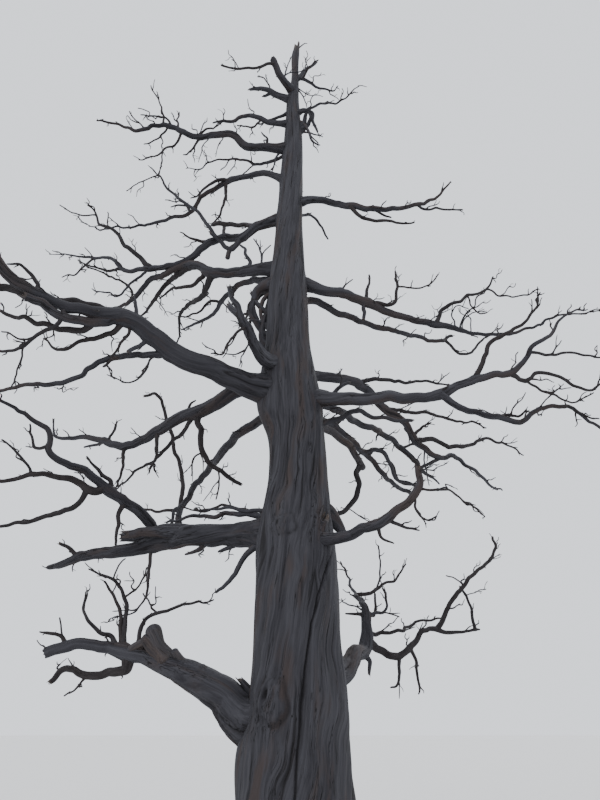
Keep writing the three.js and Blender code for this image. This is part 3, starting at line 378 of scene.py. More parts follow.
# Small limbs, lumps and shreds that only the meshes have
EXTRAS = (
    snag("leader_right", 13460, 0, 700, (60, 55, 55), thick=75, tip=48),
    snag("top_twig", 14440, 0, 350, (50, 50), thick=24, tip=10),
    offshoot("crown_wisp", "prong_left", 0.40, 0, 770, (85, 80, 70), thick=26, tip=10),
    offshoot("crown_wisp_low", "prong_left", 0.50, 0, 540, (50, 25, 0), thick=24, tip=10),
    offshoot("crown_stub", "crown_left", 0.41, 180, 240, (-15, -30), thick=60, tip=40),
    snag("upper_brace", 12520, 180, 700, (-30, -25, -25), thick=60, tip=22),
    snag("slender_link", 11520, 180, 740, (-35, -75, -80), thick=40, tip=14),
    snag("shred_high", 12460, 0, 890, (35, -20, -85, -80, -75), thick=90, tip=24),
    snag("shred_low", 11930, 0, 690, (45, 55, 75, 110), thick=105, tip=22),
    snag("shred_mid", 12040, 0, 590, (50, 80, 75), thick=100, tip=40),
    snag("shred_out", 11980, 0, 520, (-15, -20), thick=36, tip=12),
    snag("shred_down", 13220, 0, 670, (-60, -70, -80), thick=24, tip=10),
    snag("shred_side", 13250, 0, 590, (-45, -35, -5), thick=20, tip=8),
    offshoot("knuckle_loop", "knuckled_left", 0.17, 180, 830, (-60, -50, 35, 50, 40), thick=80, tip=55),
    offshoot("knuckle_knob", "knuckled_left", 0.18, 180, 480, (-60, -55, -85), thick=70, tip=75,
             end=End.ROUNDED),
    offshoot("knuckle_bar", "knuckled_left", 0.26, 0, 360, (85, 95), thick=60, tip=52, end=End.ROUNDED),
    offshoot("knuckle_root", "knuckled_left", 0.18, 0, 230, (-40, 45), thick=70, tip=50),
    offshoot("level_stump", "level_left", 0.14, 180, 640, (85, 80, 70, 55), thick=62, tip=34),
    offshoot("level_fork", "level_left", 0.08, 180, 720, (85, 85, 70, 55), thick=40, tip=14,
             forks=(fork(0.45, 0, 0, 430, (60, 50, 40)),)),
    offshoot("great_strand", "great_left", 0.52, 207, 1360, (-50, -35, -15, -5, 10, 20, 20, 15),
             thick=122, tip=105),
    offshoot("great_riser", "great_left", 0.46, 211, 460, (85, 70), thick=50, tip=36),
    offshoot("under_root", "great_left", 0.41, 188, 460, (-55, -45), thick=60, tip=50),
    offshoot("under_spur", "under_left", 0.22, 182, 370, (-25, -35), thick=62, tip=24),
    offshoot("knuckle_hook", "knuckled_left", 0.56, 169, 1350, (-45, -40, -40, -45, 15, 10, 35),
             thick=44, tip=14),
    offshoot("sag_prong", "sagging_left", 0.69, 155, 490, (-5, -5), thick=56, tip=26),
    offshoot("prong_spike", "broken_prong", 0.63, 180, 420, (65, 65), thick=60, tip=30),
    offshoot("prong_body", "broken_prong", 0.20, 180, 1220, (60, 60, 60, 60), thick=165, tip=80),
    offshoot("shard_far", "broken_left", 0.26, 180, 470, (-50, -20), thick=95, tip=20),
    offshoot("shard_near", "broken_left", 0.15, 180, 420, (-55, -20), thick=95, tip=22),
    snag("upper_strand", 4300, 180, 1210, (5, 5, 15, -10, -10), thick=60, tip=20),
    offshoot("high_link", "high_right", 0.20, 180, 350, (-70, -80), thick=60, tip=50),
    offshoot("right_link", "main_right", 0.08, 0, 420, (40, 30), thick=60, tip=45),
    offshoot("back_right_low", "lower_right_back", 0.54, 0, 1320, (15, -20, -60, -70, -70, -25, -25),
             thick=62, tip=40),
    snag("back_right", 5610, 0, 1640, (20, 20, 15, -20, -10, 0), thick=80, tip=40),
    snag("collar_right", 4440, 0, 610, (-40, -50), thick=230, tip=90),
    offshoot("burl", "low_left", 0.42, 191, 660, (50, 45, 40, 65), thick=120, tip=195, end=End.ROUNDED),
    offshoot("burl_side", "low_left", 0.50, 183, 580, (55, 40, -25), thick=150, tip=90, end=End.ROUNDED),
    offshoot("burl_foot", "low_left", 0.50, 191, 400, (55, 45), thick=190, tip=170, end=End.ROUNDED),
    offshoot("lump_far", "low_left", 0.42, 221, 340, (65, 50), thick=110, tip=90, end=End.ROUNDED),
    offshoot("lump_near", "low_left", 0.30, 185, 240, (60,), thick=150, tip=120, end=End.ROUNDED),
    snag("jag", 1790, 180, 530, (25, 45), thick=150, tip=60),
    snag("jag_low", 1760, 180, 540, (15, 35), thick=120, tip=50),
    offshoot("low_stub", "low_right", 0.34, 0, 340, (-45, -90), thick=80, tip=30),
    offshoot("slab", "broken_left", 0.34, 180, 940, (10, 0, -5), thick=190, tip=110),
    snag("bar_low", 6950, 180, 1290, (45, 90, 100, 100), thick=110, tip=60),
    snag("bar_mid", 7220, 180, 1180, (30, 70, 75, 100), thick=90, tip=40),
    snag("bar_high", 7610, 180, 700, (35, 45, 70), thick=90, tip=46),
    offshoot("back_foot", "straight_back_left", 0.97, 180, 420, (-75, -70), thick=95, tip=80),
    offshoot("root_brace", "straight_back_left", 0.90, 180, 420, (-30, -60, -80), thick=60, tip=45),
    offshoot("mid_bar", "mid_right", 0.70, 208, 780, (-20, -25), thick=52, tip=48),
    snag("rot_top", 8300, 180, 600, (-5, -35, -75), thick=200, tip=90),
    snag("rot_long", 8300, 180, 1460, (-10, -55, -70, -100, -120, -125), thick=80, tip=50),
    snag("rot_mid", 8130, 180, 910, (-20, -70, -95, -115), thick=70, tip=46),
    snag("rot_low", 7530, 180, 450, (-25, 25, 0), thick=60, tip=30),
    offshoot("low_loop", "low_right", 0.47, 30, 840, (10, 10, 40, 100, 110), thick=44, tip=22,
             forks=(fork(0.45, 30, 0, 320, (0, -5)),)),
    offshoot("low_sprig", "low_right", 0.46, 106, 1100, (35, 20, 20), thick=26, tip=10),
    offshoot("curl", "high_right", 0.47, 3, 1060, (80, 65, 55, 35, 70, 55, 45), thick=26, tip=14),
    offshoot("curl_stem", "high_right", 0.45, 359, 730, (80, 85, 55, -25), thick=22, tip=12),
    offshoot("curl_side", "high_right", 0.48, 9, 730, (85, 40, 15), thick=20, tip=10),
    offshoot("curl_hook", "high_right", 0.50, 0, 660, (85, 90, 150, 100), thick=18, tip=10),
    offshoot("ladder_drop", "mid_right", 0.57, 67, 640, (-75, -80, -75), thick=24, tip=12),
    offshoot("ladder_side", "lower_right", 0.84, 37, 940, (0, 20, 30), thick=24, tip=10),
    offshoot("ladder_link", "mid_right", 0.48, 71, 290, (-50, -65), thick=22, tip=16),
)


class Dice:
    """The small random rule that the solids are grown with."""

    def __init__(self, seed: int) -> None:
        """Starts the rule from a whole number."""
        self.state = seed % 2147483646 + 1

    def roll(self) -> float:
        """Gives the next number between 0 and 1."""
        self.state = self.state * 16807 % 2147483647
        return self.state / 2147483647


class Noise:
    """Smooth random fields that come out the same on every run."""

    @staticmethod
    def _corner(cell: Array, seed: int) -> Array:
        """Gives each whole-number point a fixed random value.

        Args:
            cell: Whole-number points, three to a point.
            seed: Picks one of many fields.

        Returns:
            Values from -1 to 1.
        """
        word = 0xFFFFFFFF
        mixed = cell[..., 0] * 0x9E3779B1 + cell[..., 1] * 0x85EBCA77 + cell[..., 2] * 0xC2B2AE3D
        mixed = (mixed + seed * 0x27D4EB2F) & word
        for shift, factor in ((15, 0x2C1B3C6D), (12, 0x297A2D39)):
            mixed = ((mixed ^ (mixed >> shift)) * factor) & word
        return (mixed ^ (mixed >> 15)) / 2147483648.0 - 1.0

    @classmethod
    def smooth(cls, points: Array, seed: int = 0) -> Array:
        """Gives a smooth value at each point.

        Args:
            points: Points in space, in units of one ripple.
            seed: Picks one of many fields.

        Returns:
            Values from -1 to 1.
        """
        cell = np.floor(points).astype(np.int64)
        part = points - cell
        part = part * part * (3 - 2 * part)
        total = np.zeros(points.shape[:-1])
        for corner in itertools.product((0, 1), repeat=3):
            step = np.array(corner)
            weight = np.prod(np.where(step == 1, part, 1 - part), axis=-1)
            total += weight * cls._corner(cell + step, seed)
        return total

    @classmethod
    def layers(cls, points: Array, count: int, seed: int = 0) -> Array:
        """Adds up a count of layers, each half as wide and half as strong as the last."""
        total = sum(cls.smooth(points * 2.0 ** k + 17.3 * k, seed + k) * 0.5 ** k for k in range(count))
        return total / (2 - 0.5 ** (count - 1))


def around(radius: Array | float, angle: Array, rise: Array | float) -> Array:
    """Gives points at a distance from an axis, at angles round it and lengths along it."""
    return np.stack([radius * np.cos(angle), radius * np.sin(angle), rise + 0 * angle], axis=-1)


def unit(vectors: Array) -> Array:
    """Gives the directions of vectors."""
    return vectors / np.maximum(np.linalg.norm(vectors, axis=-1, keepdims=True), 1e-9)


def along_trunk(height: Array, column: int) -> Array:
    """Runs a value smoothly through the trunk's stations.

    Args:
        height: Heights above the ground.
        column: 1 for the lean of the axis, 2 for the radius.

    Returns:
        The value at each height.
    """
    height = np.asarray(height, float)
    last = len(TRUNK) - 1
    k = np.clip(np.searchsorted(TRUNK[:, 0], height, side="left") - 1, 0, last - 1)
    order = np.arange(last + 1)
    before, after = np.maximum(order - 1, 0), np.minimum(order + 1, last)
    slope = (TRUNK[after, column] - TRUNK[before, column]) / (TRUNK[after, 0] - TRUNK[before, 0])
    span = TRUNK[k + 1, 0] - TRUNK[k, 0]
    t = np.clip((height - TRUNK[k, 0]) / span, 0, 1)
    ends = TRUNK[k, column] * (1 + 2 * t) * (1 - t) ** 2 + TRUNK[k + 1, column] * t * t * (3 - 2 * t)
    return ends + span * (slope[k] * t * (1 - t) ** 2 - slope[k + 1] * t * t * (1 - t))


def trunk_axis(height: float) -> Array:
    """Gives the point of the trunk's axis at a height."""
    return np.array([float(along_trunk(height, 1)), 0.0, float(height)])


def turn_between(angle: Array, bearing: float) -> Array:
    """Gives the turn from a bearing in degrees to each angle, in radians from -pi to pi."""
    off = angle - math.radians(bearing)
    return np.arctan2(np.sin(off), np.cos(off))


def trunk_radius(height: Array, angle: Array) -> Array:
    """Gives the trunk's radius: taper, long furrows, root lobes and a swelling under each stout bough.

    Args:
        height: Heights above the ground.
        angle: Angles round the axis, in radians.

    Returns:
        The radius at each height and angle.
    """
    base, metres = along_trunk(height, 2), height / 1000
    furrow = (0.5 * np.cos(5 * angle + 0.5 + 0.3 * metres) + 0.3 * np.cos(3 * angle - 1 + 0.2 * metres)
              + 0.2 * np.cos(8 * angle + 0.45 * metres))
    lobe = 0.35 + 0.65 * (0.5 + 0.5 * np.cos(ROOT_LOBES * angle + 0.8 + 0.6 * np.sin(2 * angle)))
    radius = base * (1 + FLUTE_DEPTH * (1 - 0.6 * height / HEIGHT) * furrow)
    radius = radius + ROOT_SPREAD * lobe * np.exp(-height / ROOT_RISE)
    for limb in LIMBS:
        if limb.on or limb.thick < STOUT:
            continue
        depth, drop = (0.32, 0.75) if limb.thick > BROAD else (0.14, 0.3)
        across = turn_between(angle, limb.bearing) * base
        up = height - limb.foot + drop * limb.thick
        away = (across ** 2 + 0.6 * up ** 2) / (0.95 * limb.thick) ** 2
        radius = radius + depth * limb.thick * np.exp(-away)
    return radius


class Branch:
    """A limb laid out in space: a smooth line through the ends of its strides that thins to its tip.

    Its look is what its mesh shows: thickness at foot and tip, and taper. Its course, where it has one, is
    the thickness at equal steps instead.
    """

    def __init__(self, limb: Limb, foot: Array, thick: float, tip: float, sway: float = SWAY) -> None:
        """Lays a limb out.

        Args:
            limb: The limb as drawn.
            foot: Where it starts.
            thick: Thickness at its foot.
            tip: Thickness at its tip.
            sway: Degrees it swings to either side.
        """
        count = len(limb.climbs)
        order = np.arange(count)
        swing = sway * np.sin(2.4 * order + limb.bearing)
        bearing = np.radians(limb.bearing + limb.bend * (order + 0.5) / count + swing)
        climb = np.radians(np.array(limb.climbs, float))
        level = np.cos(climb)
        steps = around(level, bearing, np.sin(climb))
        self.points = np.vstack([foot, foot + np.cumsum(steps * limb.length / count, axis=0)])
        self.thick, self.tip, self.taper, self.length = thick, tip, limb.taper, limb.length
        self.look: Triple = (thick, tip, limb.taper)
        self.course: tuple[float, ...] = ()

    def at(self, shares: Array | float) -> Array:
        """Gives points of the smooth line.

        Args:
            shares: Shares of the way along, from 0 to 1.

        Returns:
            One point for each share.
        """
        shares = np.asarray(shares, float)
        before = 2 * self.points[0] - self.points[1]
        after = 2 * self.points[-1] - self.points[-2]
        padded = np.vstack([before, self.points, after])
        place = shares * (len(self.points) - 1)
        k = np.clip(np.floor(place).astype(int), 0, len(self.points) - 2)
        t = (place - k)[..., None]
        a, b, c, d = padded[k], padded[k + 1], padded[k + 2], padded[k + 3]
        low, high = 0.5 * (c - a), 0.5 * (d - b)
        return b + low * t + (3 * (c - b) - 2 * low - high) * t ** 2 + (2 * (b - c) + low + high) * t ** 3

    def heading(self, share: float) -> Array:
        """Gives the direction of the line at a share of the way."""
        before, after = self.at(np.clip([share - 1e-4, share + 1e-4], 0, 1))
        return (after - before) / np.linalg.norm(after - before)

    def thickness(self, shares: Array | float) -> Array:
        """Gives the thickness at shares of the way."""
        left = np.clip(1 - np.asarray(shares, float), 0, 1)
        return self.tip + (self.thick - self.tip) * left ** self.taper

    def shown(self, shares: Array | float) -> Array:
        """Gives the thickness that the mesh has at shares of the way.

        Args:
            shares: Shares of the way along, from 0 to 1.

        Returns:
            The thickness, made a little stouter where the wood is thin.
        """
        foot, tip, taper = self.look
        thick = tip + (foot - tip) * np.clip(1 - np.asarray(shares, float), 0, 1) ** taper
        if self.course:
            thick = np.interp(shares, np.linspace(0, 1, len(self.course)), self.course)
        return thick + 9 * (1 - np.exp(-thick / 25)) + 0.1 * thick * np.exp(-thick / 150)


class Thicket:
    """Straight rods that stand for every branch in its place, so that new twigs can keep clear of them."""

    ROOM = 60000

    def __init__(self) -> None:
        """Starts with no rods."""
        self.start = np.zeros((self.ROOM, 3))
        self.end = np.zeros((self.ROOM, 3))
        self.radius = np.zeros(self.ROOM)
        self.owner = np.zeros(self.ROOM, int)
        self.count = 0
        self.owners: dict[str, int] = {}

    def _number(self, owner: str) -> int:
        """Gives an owner's number."""
        return self.owners.setdefault(owner, len(self.owners))

    @staticmethod
    def _rods(branch: Branch, low: float, high: float) -> tuple[Array, Array, Array]:
        """Cuts part of a branch into straight rods.

        Args:
            branch: The branch.
            low: Share of the way where the part starts.
            high: Share of the way where it ends.

        Returns:
            Starts, ends and radii of the rods.
        """
        pieces = len(branch.points) * 2 - 2
        shares = low + (high - low) * np.arange(pieces + 1) / pieces
        points = branch.at(shares)
        return points[:-1], points[1:], branch.thickness(shares[:-1]) / 2

    def put(self, start: Array, end: Array, radius: Array, owner: str) -> None:
        """Adds rods.

        Args:
            start: Their starts.
            end: Their ends.
            radius: Their radii.
            owner: Whose they are.
        """
        rows = slice(self.count, self.count + len(radius))
        self.start[rows], self.end[rows], self.radius[rows] = start, end, radius
        self.owner[rows] = self._number(owner)
        self.count += len(radius)

    def plant(self, branch: Branch, owner: str, low: float = 0.0, high: float = 1.0) -> None:
        """Adds the rods of a branch, or of the part of it from one share of the way to another."""
        self.put(*self._rods(branch, low, high), owner)

    def clear_strides(self, branch: Branch, spare: tuple[str, ...], room: float = CLEARANCE) -> int:
        """Counts how many strides of a branch are clear of all that others own.

        Args:
            branch: The branch, not yet planted.
            spare: Owners that it may touch, its own name among them.
            room: Least room to any other rod.

        Returns:
            The number of whole clear strides.
        """
        start, end, radius = self._rods(branch, 0.0, 1.0)
        rows = slice(0, self.count)
        low, high = branch.points.min(0) - NEARBY, branch.points.max(0) + NEARBY
        others = ~np.isin(self.owner[rows], [self._number(name) for name in spare])
        others &= ((self.start[rows] > low) & (self.start[rows] < high)).all(axis=1)
        near = np.nonzero(others)[0]
        if not len(near):
            return len(branch.points) - 1
        u, v = (end - start)[:, None], (self.end[near] - self.start[near])[None]
        w = start[:, None] - self.start[near][None]
        uu, uv, vv = (u * u).sum(-1), (u * v).sum(-1), (v * v).sum(-1)
        uw, vw = (u * w).sum(-1), (v * w).sum(-1)
        det = uu * vv - uv * uv
        s = np.where(det > 1e-6, np.clip((uv * vw - vv * uw) / np.maximum(det, 1e-6), 0, 1), 0)
        t = np.clip((uv * s + vw) / vv, 0, 1)
        s = np.clip((uv * t - uw) / uu, 0, 1)
        apart = np.linalg.norm(w + u * s[..., None] - v * t[..., None], axis=-1)
        far = np.abs(start[:, None, ::2] - self.start[near][None, :, ::2]).max(-1) >= NEARBY
        hit = ((apart < radius[:, None] + self.radius[near][None] + room) & ~far).any(axis=1)
        return len(branch.points) - 1 if not hit.any() else int(np.argmax(hit)) // 2


class Rank(Enum):
    """How far a shoot is from its limb."""

    FORK = 1
    TWIG = 2
    TWIGLET = 3


@dataclass
class Shoot:
    """A branch in its place on its host."""

    branch: Branch
    host: Branch
    at: float
    rank: Rank

    def buried(self) -> float:
        """Gives how much of its length lies inside the host."""
        return float(self.host.thickness(self.at)) / 2


@dataclass(frozen=True)
class TwigSize:
    """Sizes of the twigs that one step of the rule sets along a branch."""

    spacing: float
    least: float
    spread: float
    foot: float
    end: float
    strides: int
    crook: float
    sway: float
    room: float = 0.0
    rank: Rank = Rank.TWIG


SIDE_TWIGS = TwigSize(spacing=1300, least=260, spread=320, foot=TWIG_FOOT, end=TWIG_END, strides=2,
                      crook=30, sway=SWAY, room=CLEARANCE)
FINE_TWIGS = TwigSize(spacing=340, least=130, spread=340, foot=21, end=8, strides=4, crook=80, sway=34,
                      room=2)
STUBS = TwigSize(spacing=520, least=90, spread=260, foot=34, end=12, strides=3, crook=60, sway=30, room=2)
TIP_TWIGS = TwigSize(spacing=120, least=110, spread=200, foot=17, end=7, strides=3, crook=60, sway=26,
                     room=2)
TWIGLETS = TwigSize(spacing=150, least=50, spread=140, foot=11, end=5, strides=3, crook=60, sway=30,
                    rank=Rank.TWIGLET)


@dataclass
class Grown:
    """A limb in its place, with all that grows on it, and the owners that its shoots may touch (spare)."""

    limb: Limb
    stem: Branch
    number: int
    forks: list[Shoot] = field(default_factory=list)
    twigs: list[Shoot] = field(default_factory=list)
    spare: tuple[str, ...] = ()

    def mass(self) -> str:
        """Gives the name of the solid that its twigs replace."""
        return f"{self.limb.name}_twigs"

    def solids(self) -> tuple[str, ...]:
        """Gives the names of the solids that the whole limb stands for."""
        bough = (self.limb.name,) if self.limb.bare > 0 else ()
        return bough + ((self.mass(),) if self.limb.bare < 1 else ())


class Growth:
    """Grows the tree by the rule that its solids follow, and then carries it to finer twigs."""

    def __init__(self) -> None:
        """Starts with the trunk in its place."""
        self.thicket = Thicket()
        heights = HEIGHT * np.arange(41) / 40
        axis = np.stack([along_trunk(heights, 1), 0 * heights, heights], axis=1)
        self.thicket.put(axis[:-1], axis[1:], along_trunk(heights[:-1], 2), "trunk")
        self.grown: dict[str, Grown] = {}

    def grow(self) -> list[Grown]:
        """Grows every limb, its forks and its twigs.

        Returns:
            The limbs in the order of the drawing.
        """
        self._lay_out(LIMBS)
        for each in self.grown.values():
            if each.limb.bare < 1:
                self._fill(each)
        self._lay_out(EXTRAS)
        for each in self.grown.values():
            self._refine(each)
        return list(self.grown.values())

    def _foot(self, limb: Limb) -> Array:
        """Gives where a limb's axis starts.

        Args:
            limb: The limb as drawn.

        Returns:
            A point on its host's line, or inside the trunk.
        """
        if limb.on:
            return self.grown[limb.on].stem.at(limb.at)
        bearing = math.radians(limb.bearing)
        depth = FOOT_DEPTH * float(along_trunk(limb.foot, 2))
        return trunk_axis(limb.foot) + depth * np.array([math.cos(bearing), math.sin(bearing), 0.0])

    def _lay_out(self, drawing: tuple[Limb, ...]) -> None:
        """Lays limbs out before their twigs grow, so that those can keep clear of all of them.

        Args:
            drawing: The limbs as drawn.
        """
        for number, limb in enumerate(drawing, start=len(self.grown) + 1):
            stem = Branch(limb, self._foot(limb), limb.thick, limb.tip)
            each = Grown(limb, stem, number)
            self.grown[limb.name] = each
            if limb.bare > 0:
                self.thicket.plant(stem, limb.name, FOOT_GAP, limb.bare)
            if limb.bare < 1:
                self.thicket.plant(stem, each.mass(), max(limb.bare, FOOT_GAP), 1.0)

    def _fill(self, each: Grown) -> None:
        """Grows the forks and side twigs of a limb's mass, as its solid has them.

        Args:
            each: The limb.
        """
        limb = each.limb
        each.spare = (each.mass(), limb.name) + ((limb.on,) if limb.on else ())
        forks = tuple(drawn for drawn in limb.forks if drawn.at > limb.bare)
        self._branch_out(each, each.stem, forks, each.number * 101 + 7)
        self._side_twigs(each, each.stem, max(limb.bare, LIMB_TWIGS), each.number * 53 + 11, SIDE_TWIGS)

    def _branch_out(self, each: Grown, parent: Branch, forks: tuple[Limb, ...], seed: int) -> None:
        """Grows forks and their own forks, each cut short where it would touch another limb.

        Args:
            each: The limb they belong to.
            parent: The branch they start from.
            forks: The forks as drawn.
            seed: Seed of their side twigs.
        """
        for index, drawn in enumerate(forks):
            room = float(parent.thickness(drawn.at))
            usual = min(max(FORK_SHARE * room, LEAST_FORK), MOST_FORK)
            thick = min(drawn.thick or usual, FORK_LIMIT * room)
            tip = min(BRANCH_END, thick * 0.7)
            kept = Branch(drawn, parent.at(drawn.at), thick, tip)
            clear = self.thicket.clear_strides(kept, each.spare)
            if clear < 1:
                continue
            share = clear / len(drawn.climbs)
            if share < 1:
                bend, length = drawn.bend * share, drawn.length * share
                short = Limb("", drawn.bearing, bend, length, drawn.climbs[:clear])
                kept = Branch(short, kept.points[0], thick, tip)
            each.forks.append(Shoot(kept, parent, drawn.at, Rank.FORK))
            self.thicket.plant(kept, each.mass())
            self._branch_out(each, kept, drawn.forks, seed * 7 + index * 13 + 5)
            self._side_twigs(each, kept, FORK_TWIGS, seed * 31 + index * 17 + 3, SIDE_TWIGS)

    def _side_twigs(self, each: Grown, parent: Branch, low: float, seed: int, size: TwigSize,
                    high: float = 1.0) -> None:
        """Sets crooked twigs left and right in turn along part of a branch.

        Args:
            each: The limb they belong to.
            parent: The branch they start from.
            low: Share of the way where the first may start.
            seed: Seed of their places and directions.
            size: Their sizes.
            high: Share of the way where the last may start.
        """
        dice, reach = Dice(seed), high - low
        count = math.floor(parent.length * reach / size.spacing)
        for j in range(count):
            at = low + reach * (j + 0.3 + 0.6 * dice.roll()) / count
            heading = parent.heading(min(at, 1.0))
            side = 1 if j % 2 else -1
            turn = side * (TWIG_TURN + TWIG_TURN * dice.roll())
            bearing = math.degrees(math.atan2(heading[1], heading[0])) + turn
            climb = math.degrees(math.asin(heading[2])) * 0.6 - TWIG_DROOP + TWIG_CLIMB * dice.roll()
            length = (size.least + size.spread * dice.roll()) * (1.15 - 0.5 * at)
            crook = size.crook * (dice.roll() - 1 / 3)
            climbs = tuple(climb + crook * (k % 2) for k in range(size.strides))
            thick = min(size.foot, float(parent.thickness(at)) * 0.8)
            tip = min(size.end, 0.6 * thick + 1.2)
            drawn = Limb("", bearing, 0.0, length, climbs)
            branch = Branch(drawn, parent.at(at), thick, tip, size.sway)
            self._keep(each, Shoot(branch, parent, at, size.rank), size)

    def _keep(self, each: Grown, shoot: Shoot, size: TwigSize) -> None:
        """Keeps a twig that stays inside the tree's reach and, if it isn't a twiglet, clear of other limbs.

        Args:
            each: The limb it belongs to.
            shoot: The twig.
            size: Its sizes.
        """
        points = shoot.branch.points
        if size is not SIDE_TWIGS and not Reach.holds(points):
            return
        if size.rank is Rank.TWIG:
            if self.thicket.clear_strides(shoot.branch, each.spare, size.room) < len(points) - 1:
                return
            self.thicket.plant(shoot.branch, each.mass())
        each.twigs.append(shoot)

    def _refine(self, each: Grown) -> None:
        """Carries the rule on: forks and stubs on the bare bough, fine twigs and twiglets further out.

        Args:
            each: The limb.
        """
        limb, seed = each.limb, each.number * 211 + 17
        each.spare = (each.mass(), limb.name) + ((limb.on, f"{limb.on}_twigs") if limb.on else ())
        small = each.number > len(LIMBS)
        forks = tuple(drawn for drawn in limb.forks if small or drawn.at <= limb.bare)
        self._branch_out(each, each.stem, forks, seed)
        hosts, sides = list(each.forks), list(each.twigs)
        if limb.bare > 0:
            start = min(0.9, FOOT_DEPTH * float(along_trunk(limb.foot, 2)) / limb.length + 0.06)
            high = min(max(limb.bare, start + 0.02), 0.72)
            self._side_twigs(each, each.stem, start, seed + 3, STUBS, high)
        if limb.end is not End.ROUNDED:
            self._side_twigs(each, each.stem, max(limb.bare, FINE_START), seed + 5, FINE_TWIGS)
        for k, shoot in enumerate(hosts):
            self._side_twigs(each, shoot.branch, FINE_START, seed + 31 * k + 7, FINE_TWIGS)
        for k, shoot in enumerate(sides):
            self._side_twigs(each, shoot.branch, 0.25, seed + 37 * k + 9, FINE_TWIGS)
        self._tips(each, seed + 13)
        for k, shoot in enumerate(list(each.twigs)):
            self._side_twigs(each, shoot.branch, 0.3, seed + 41 * k + 11, TWIGLETS)

    def _tips(self, each: Grown, seed: int) -> None:
        """Ends the stem and each fork in a little fan of twigs.

        Args:
            each: The limb.
            seed: Seed of their places and directions.
        """
        ends = [each.stem] if each.limb.bare < 1 and each.stem.tip < 2 * BRANCH_END else []
        for k, branch in enumerate(ends + [shoot.branch for shoot in each.forks]):
            span = min(0.3, TIP_SPAN / branch.length)
            self._side_twigs(each, branch, 1 - span, seed + 43 * k, TIP_TWIGS)


class Reach:
    """The box that the solids reach to, in millimetres, which no twig leaves."""

    INSET = 14.0
    low = np.array(CAD_BOX[0]) / MM + INSET
    high = np.array(CAD_BOX[1]) / MM - INSET

    @classmethod
    def holds(cls, points: Array) -> bool:
        """Tells whether all points lie inside the box."""
        return bool(((points > cls.low) & (points < cls.high)).all())

    @classmethod
    def trim(cls, points: Array) -> Array:
        """Pulls points in metres back to the box of the solids."""
        return np.clip(points, np.array(CAD_BOX[0]), np.array(CAD_BOX[1]))


@dataclass(frozen=True)
class Nudge:
    """A place where all branches stand a little aside from the solids' lines, as in the photograph."""

    place: Triple
    reach: float
    push: Triple

    def shift(self, points: Array) -> Array:
        """Gives how far each point moves."""
        away = np.linalg.norm(points - np.array(self.place), axis=-1) / self.reach
        return np.exp(-away ** 2)[..., None] * np.array(self.push)


@dataclass(frozen=True)
class Crooks:
    """Crooks that all branches share, so that a fork stays on its parent. They fade at the trunk."""

    waves: tuple[tuple[float, float], ...] = ((430.0, 34.0), (175.0, 36.0), (85.0, 11.0))
    fade: float = 420.0
    nudges: tuple[Nudge, ...] = (
        Nudge((-1950, 70, 2420), 950, (0, 0, -105)),
        Nudge((-2450, 250, 2150), 330, (0, 0, 85)),
        Nudge((-2100, 80, 2950), 500, (-60, 0, 60)),
        Nudge((-3050, -1430, 6780), 620, (-30, 0, 32)),
        Nudge((1040, 1560, 3040), 380, (85, 0, 0)),
    )

    def bend(self, points: Array, thick: Array) -> Array:
        """Moves points of branches' lines a little, slim branches more than stout ones.

        Args:
            points: Points in millimetres.
            thick: The branch's thickness at each of them.

        Returns:
            The moved points.
        """
        push = np.zeros_like(points)
        for k, (span, depth) in enumerate(self.waves):
            wave = [Noise.smooth(points / span, 101 + 7 * k + axis) for axis in range(3)]
            push += depth * np.stack(wave, axis=-1)
        off = points[..., :2] - np.stack([along_trunk(points[..., 2], 1), 0 * points[..., 2]], axis=-1)
        clear = np.clip((np.linalg.norm(off, axis=-1) - along_trunk(points[..., 2], 2)) / self.fade, 0, 1)
        moved = points + push * (clear * np.clip(1.15 - thick / 320, 0.4, 1.0))[..., None]
        return moved + sum(nudge.shift(points) for nudge in self.nudges)


@dataclass(frozen=True)
class Relief:
    """How far weathered wood stands out of, or sinks into, a smooth limb, as shares of its radius."""

    lump: float = 0.10
    ridge: float = 0.075
    crack: float = 0.16
    twist: float = 0.16

    def grain_angle(self, angle: Array, along: Array, thick: float, seed: int) -> Array:
        """Gives an angle that stays the same along one fibre, which winds round the limb and wavers."""
        place = around(1.3, angle, along / (2.4 * thick))
        return angle + self.twist * along / thick + 0.34 * Noise.smooth(place, seed + 5)

    def factors(self, angle: Array, spun: Array, along: Array, thick: float,
                seed: int) -> tuple[Array, Array]:
        """Works out a limb's uneven surface.

        Args:
            angle: Angles round the limb, for each ring and side.
            spun: Angles that follow the grain.
            along: Distances along the limb.
            thick: The limb's thickness.
            seed: Makes each limb different.

        Returns:
            What the radius is multiplied by, and the painted shade of cracks and hollows, from 0 to 1.
        """
        lobes = around(1.1, angle, along / (2.1 * thick))
        grain = around(3.0, spun, along / (6.5 * thick))
        slits = around(1.9, spun, along / (5 * thick))
        lumps, ridges = Noise.layers(lobes, 2, seed), Noise.layers(grain, 3, seed + 11)
        open_here = np.clip(2.2 * Noise.smooth(slits * (1, 1, 0.7), seed + 29), 0, 1)
        cracks = np.exp(-(Noise.smooth(slits, seed + 23) / 0.11) ** 2) * open_here
        factor = 1 + self.lump * lumps + self.ridge * ridges - self.crack * cracks
        # The second value is painted shade: cracks and the hollows between ridges are darkened.
        return factor, np.clip(cracks + 0.6 * np.clip(-ridges - 0.15, 0, 1), 0, 1)


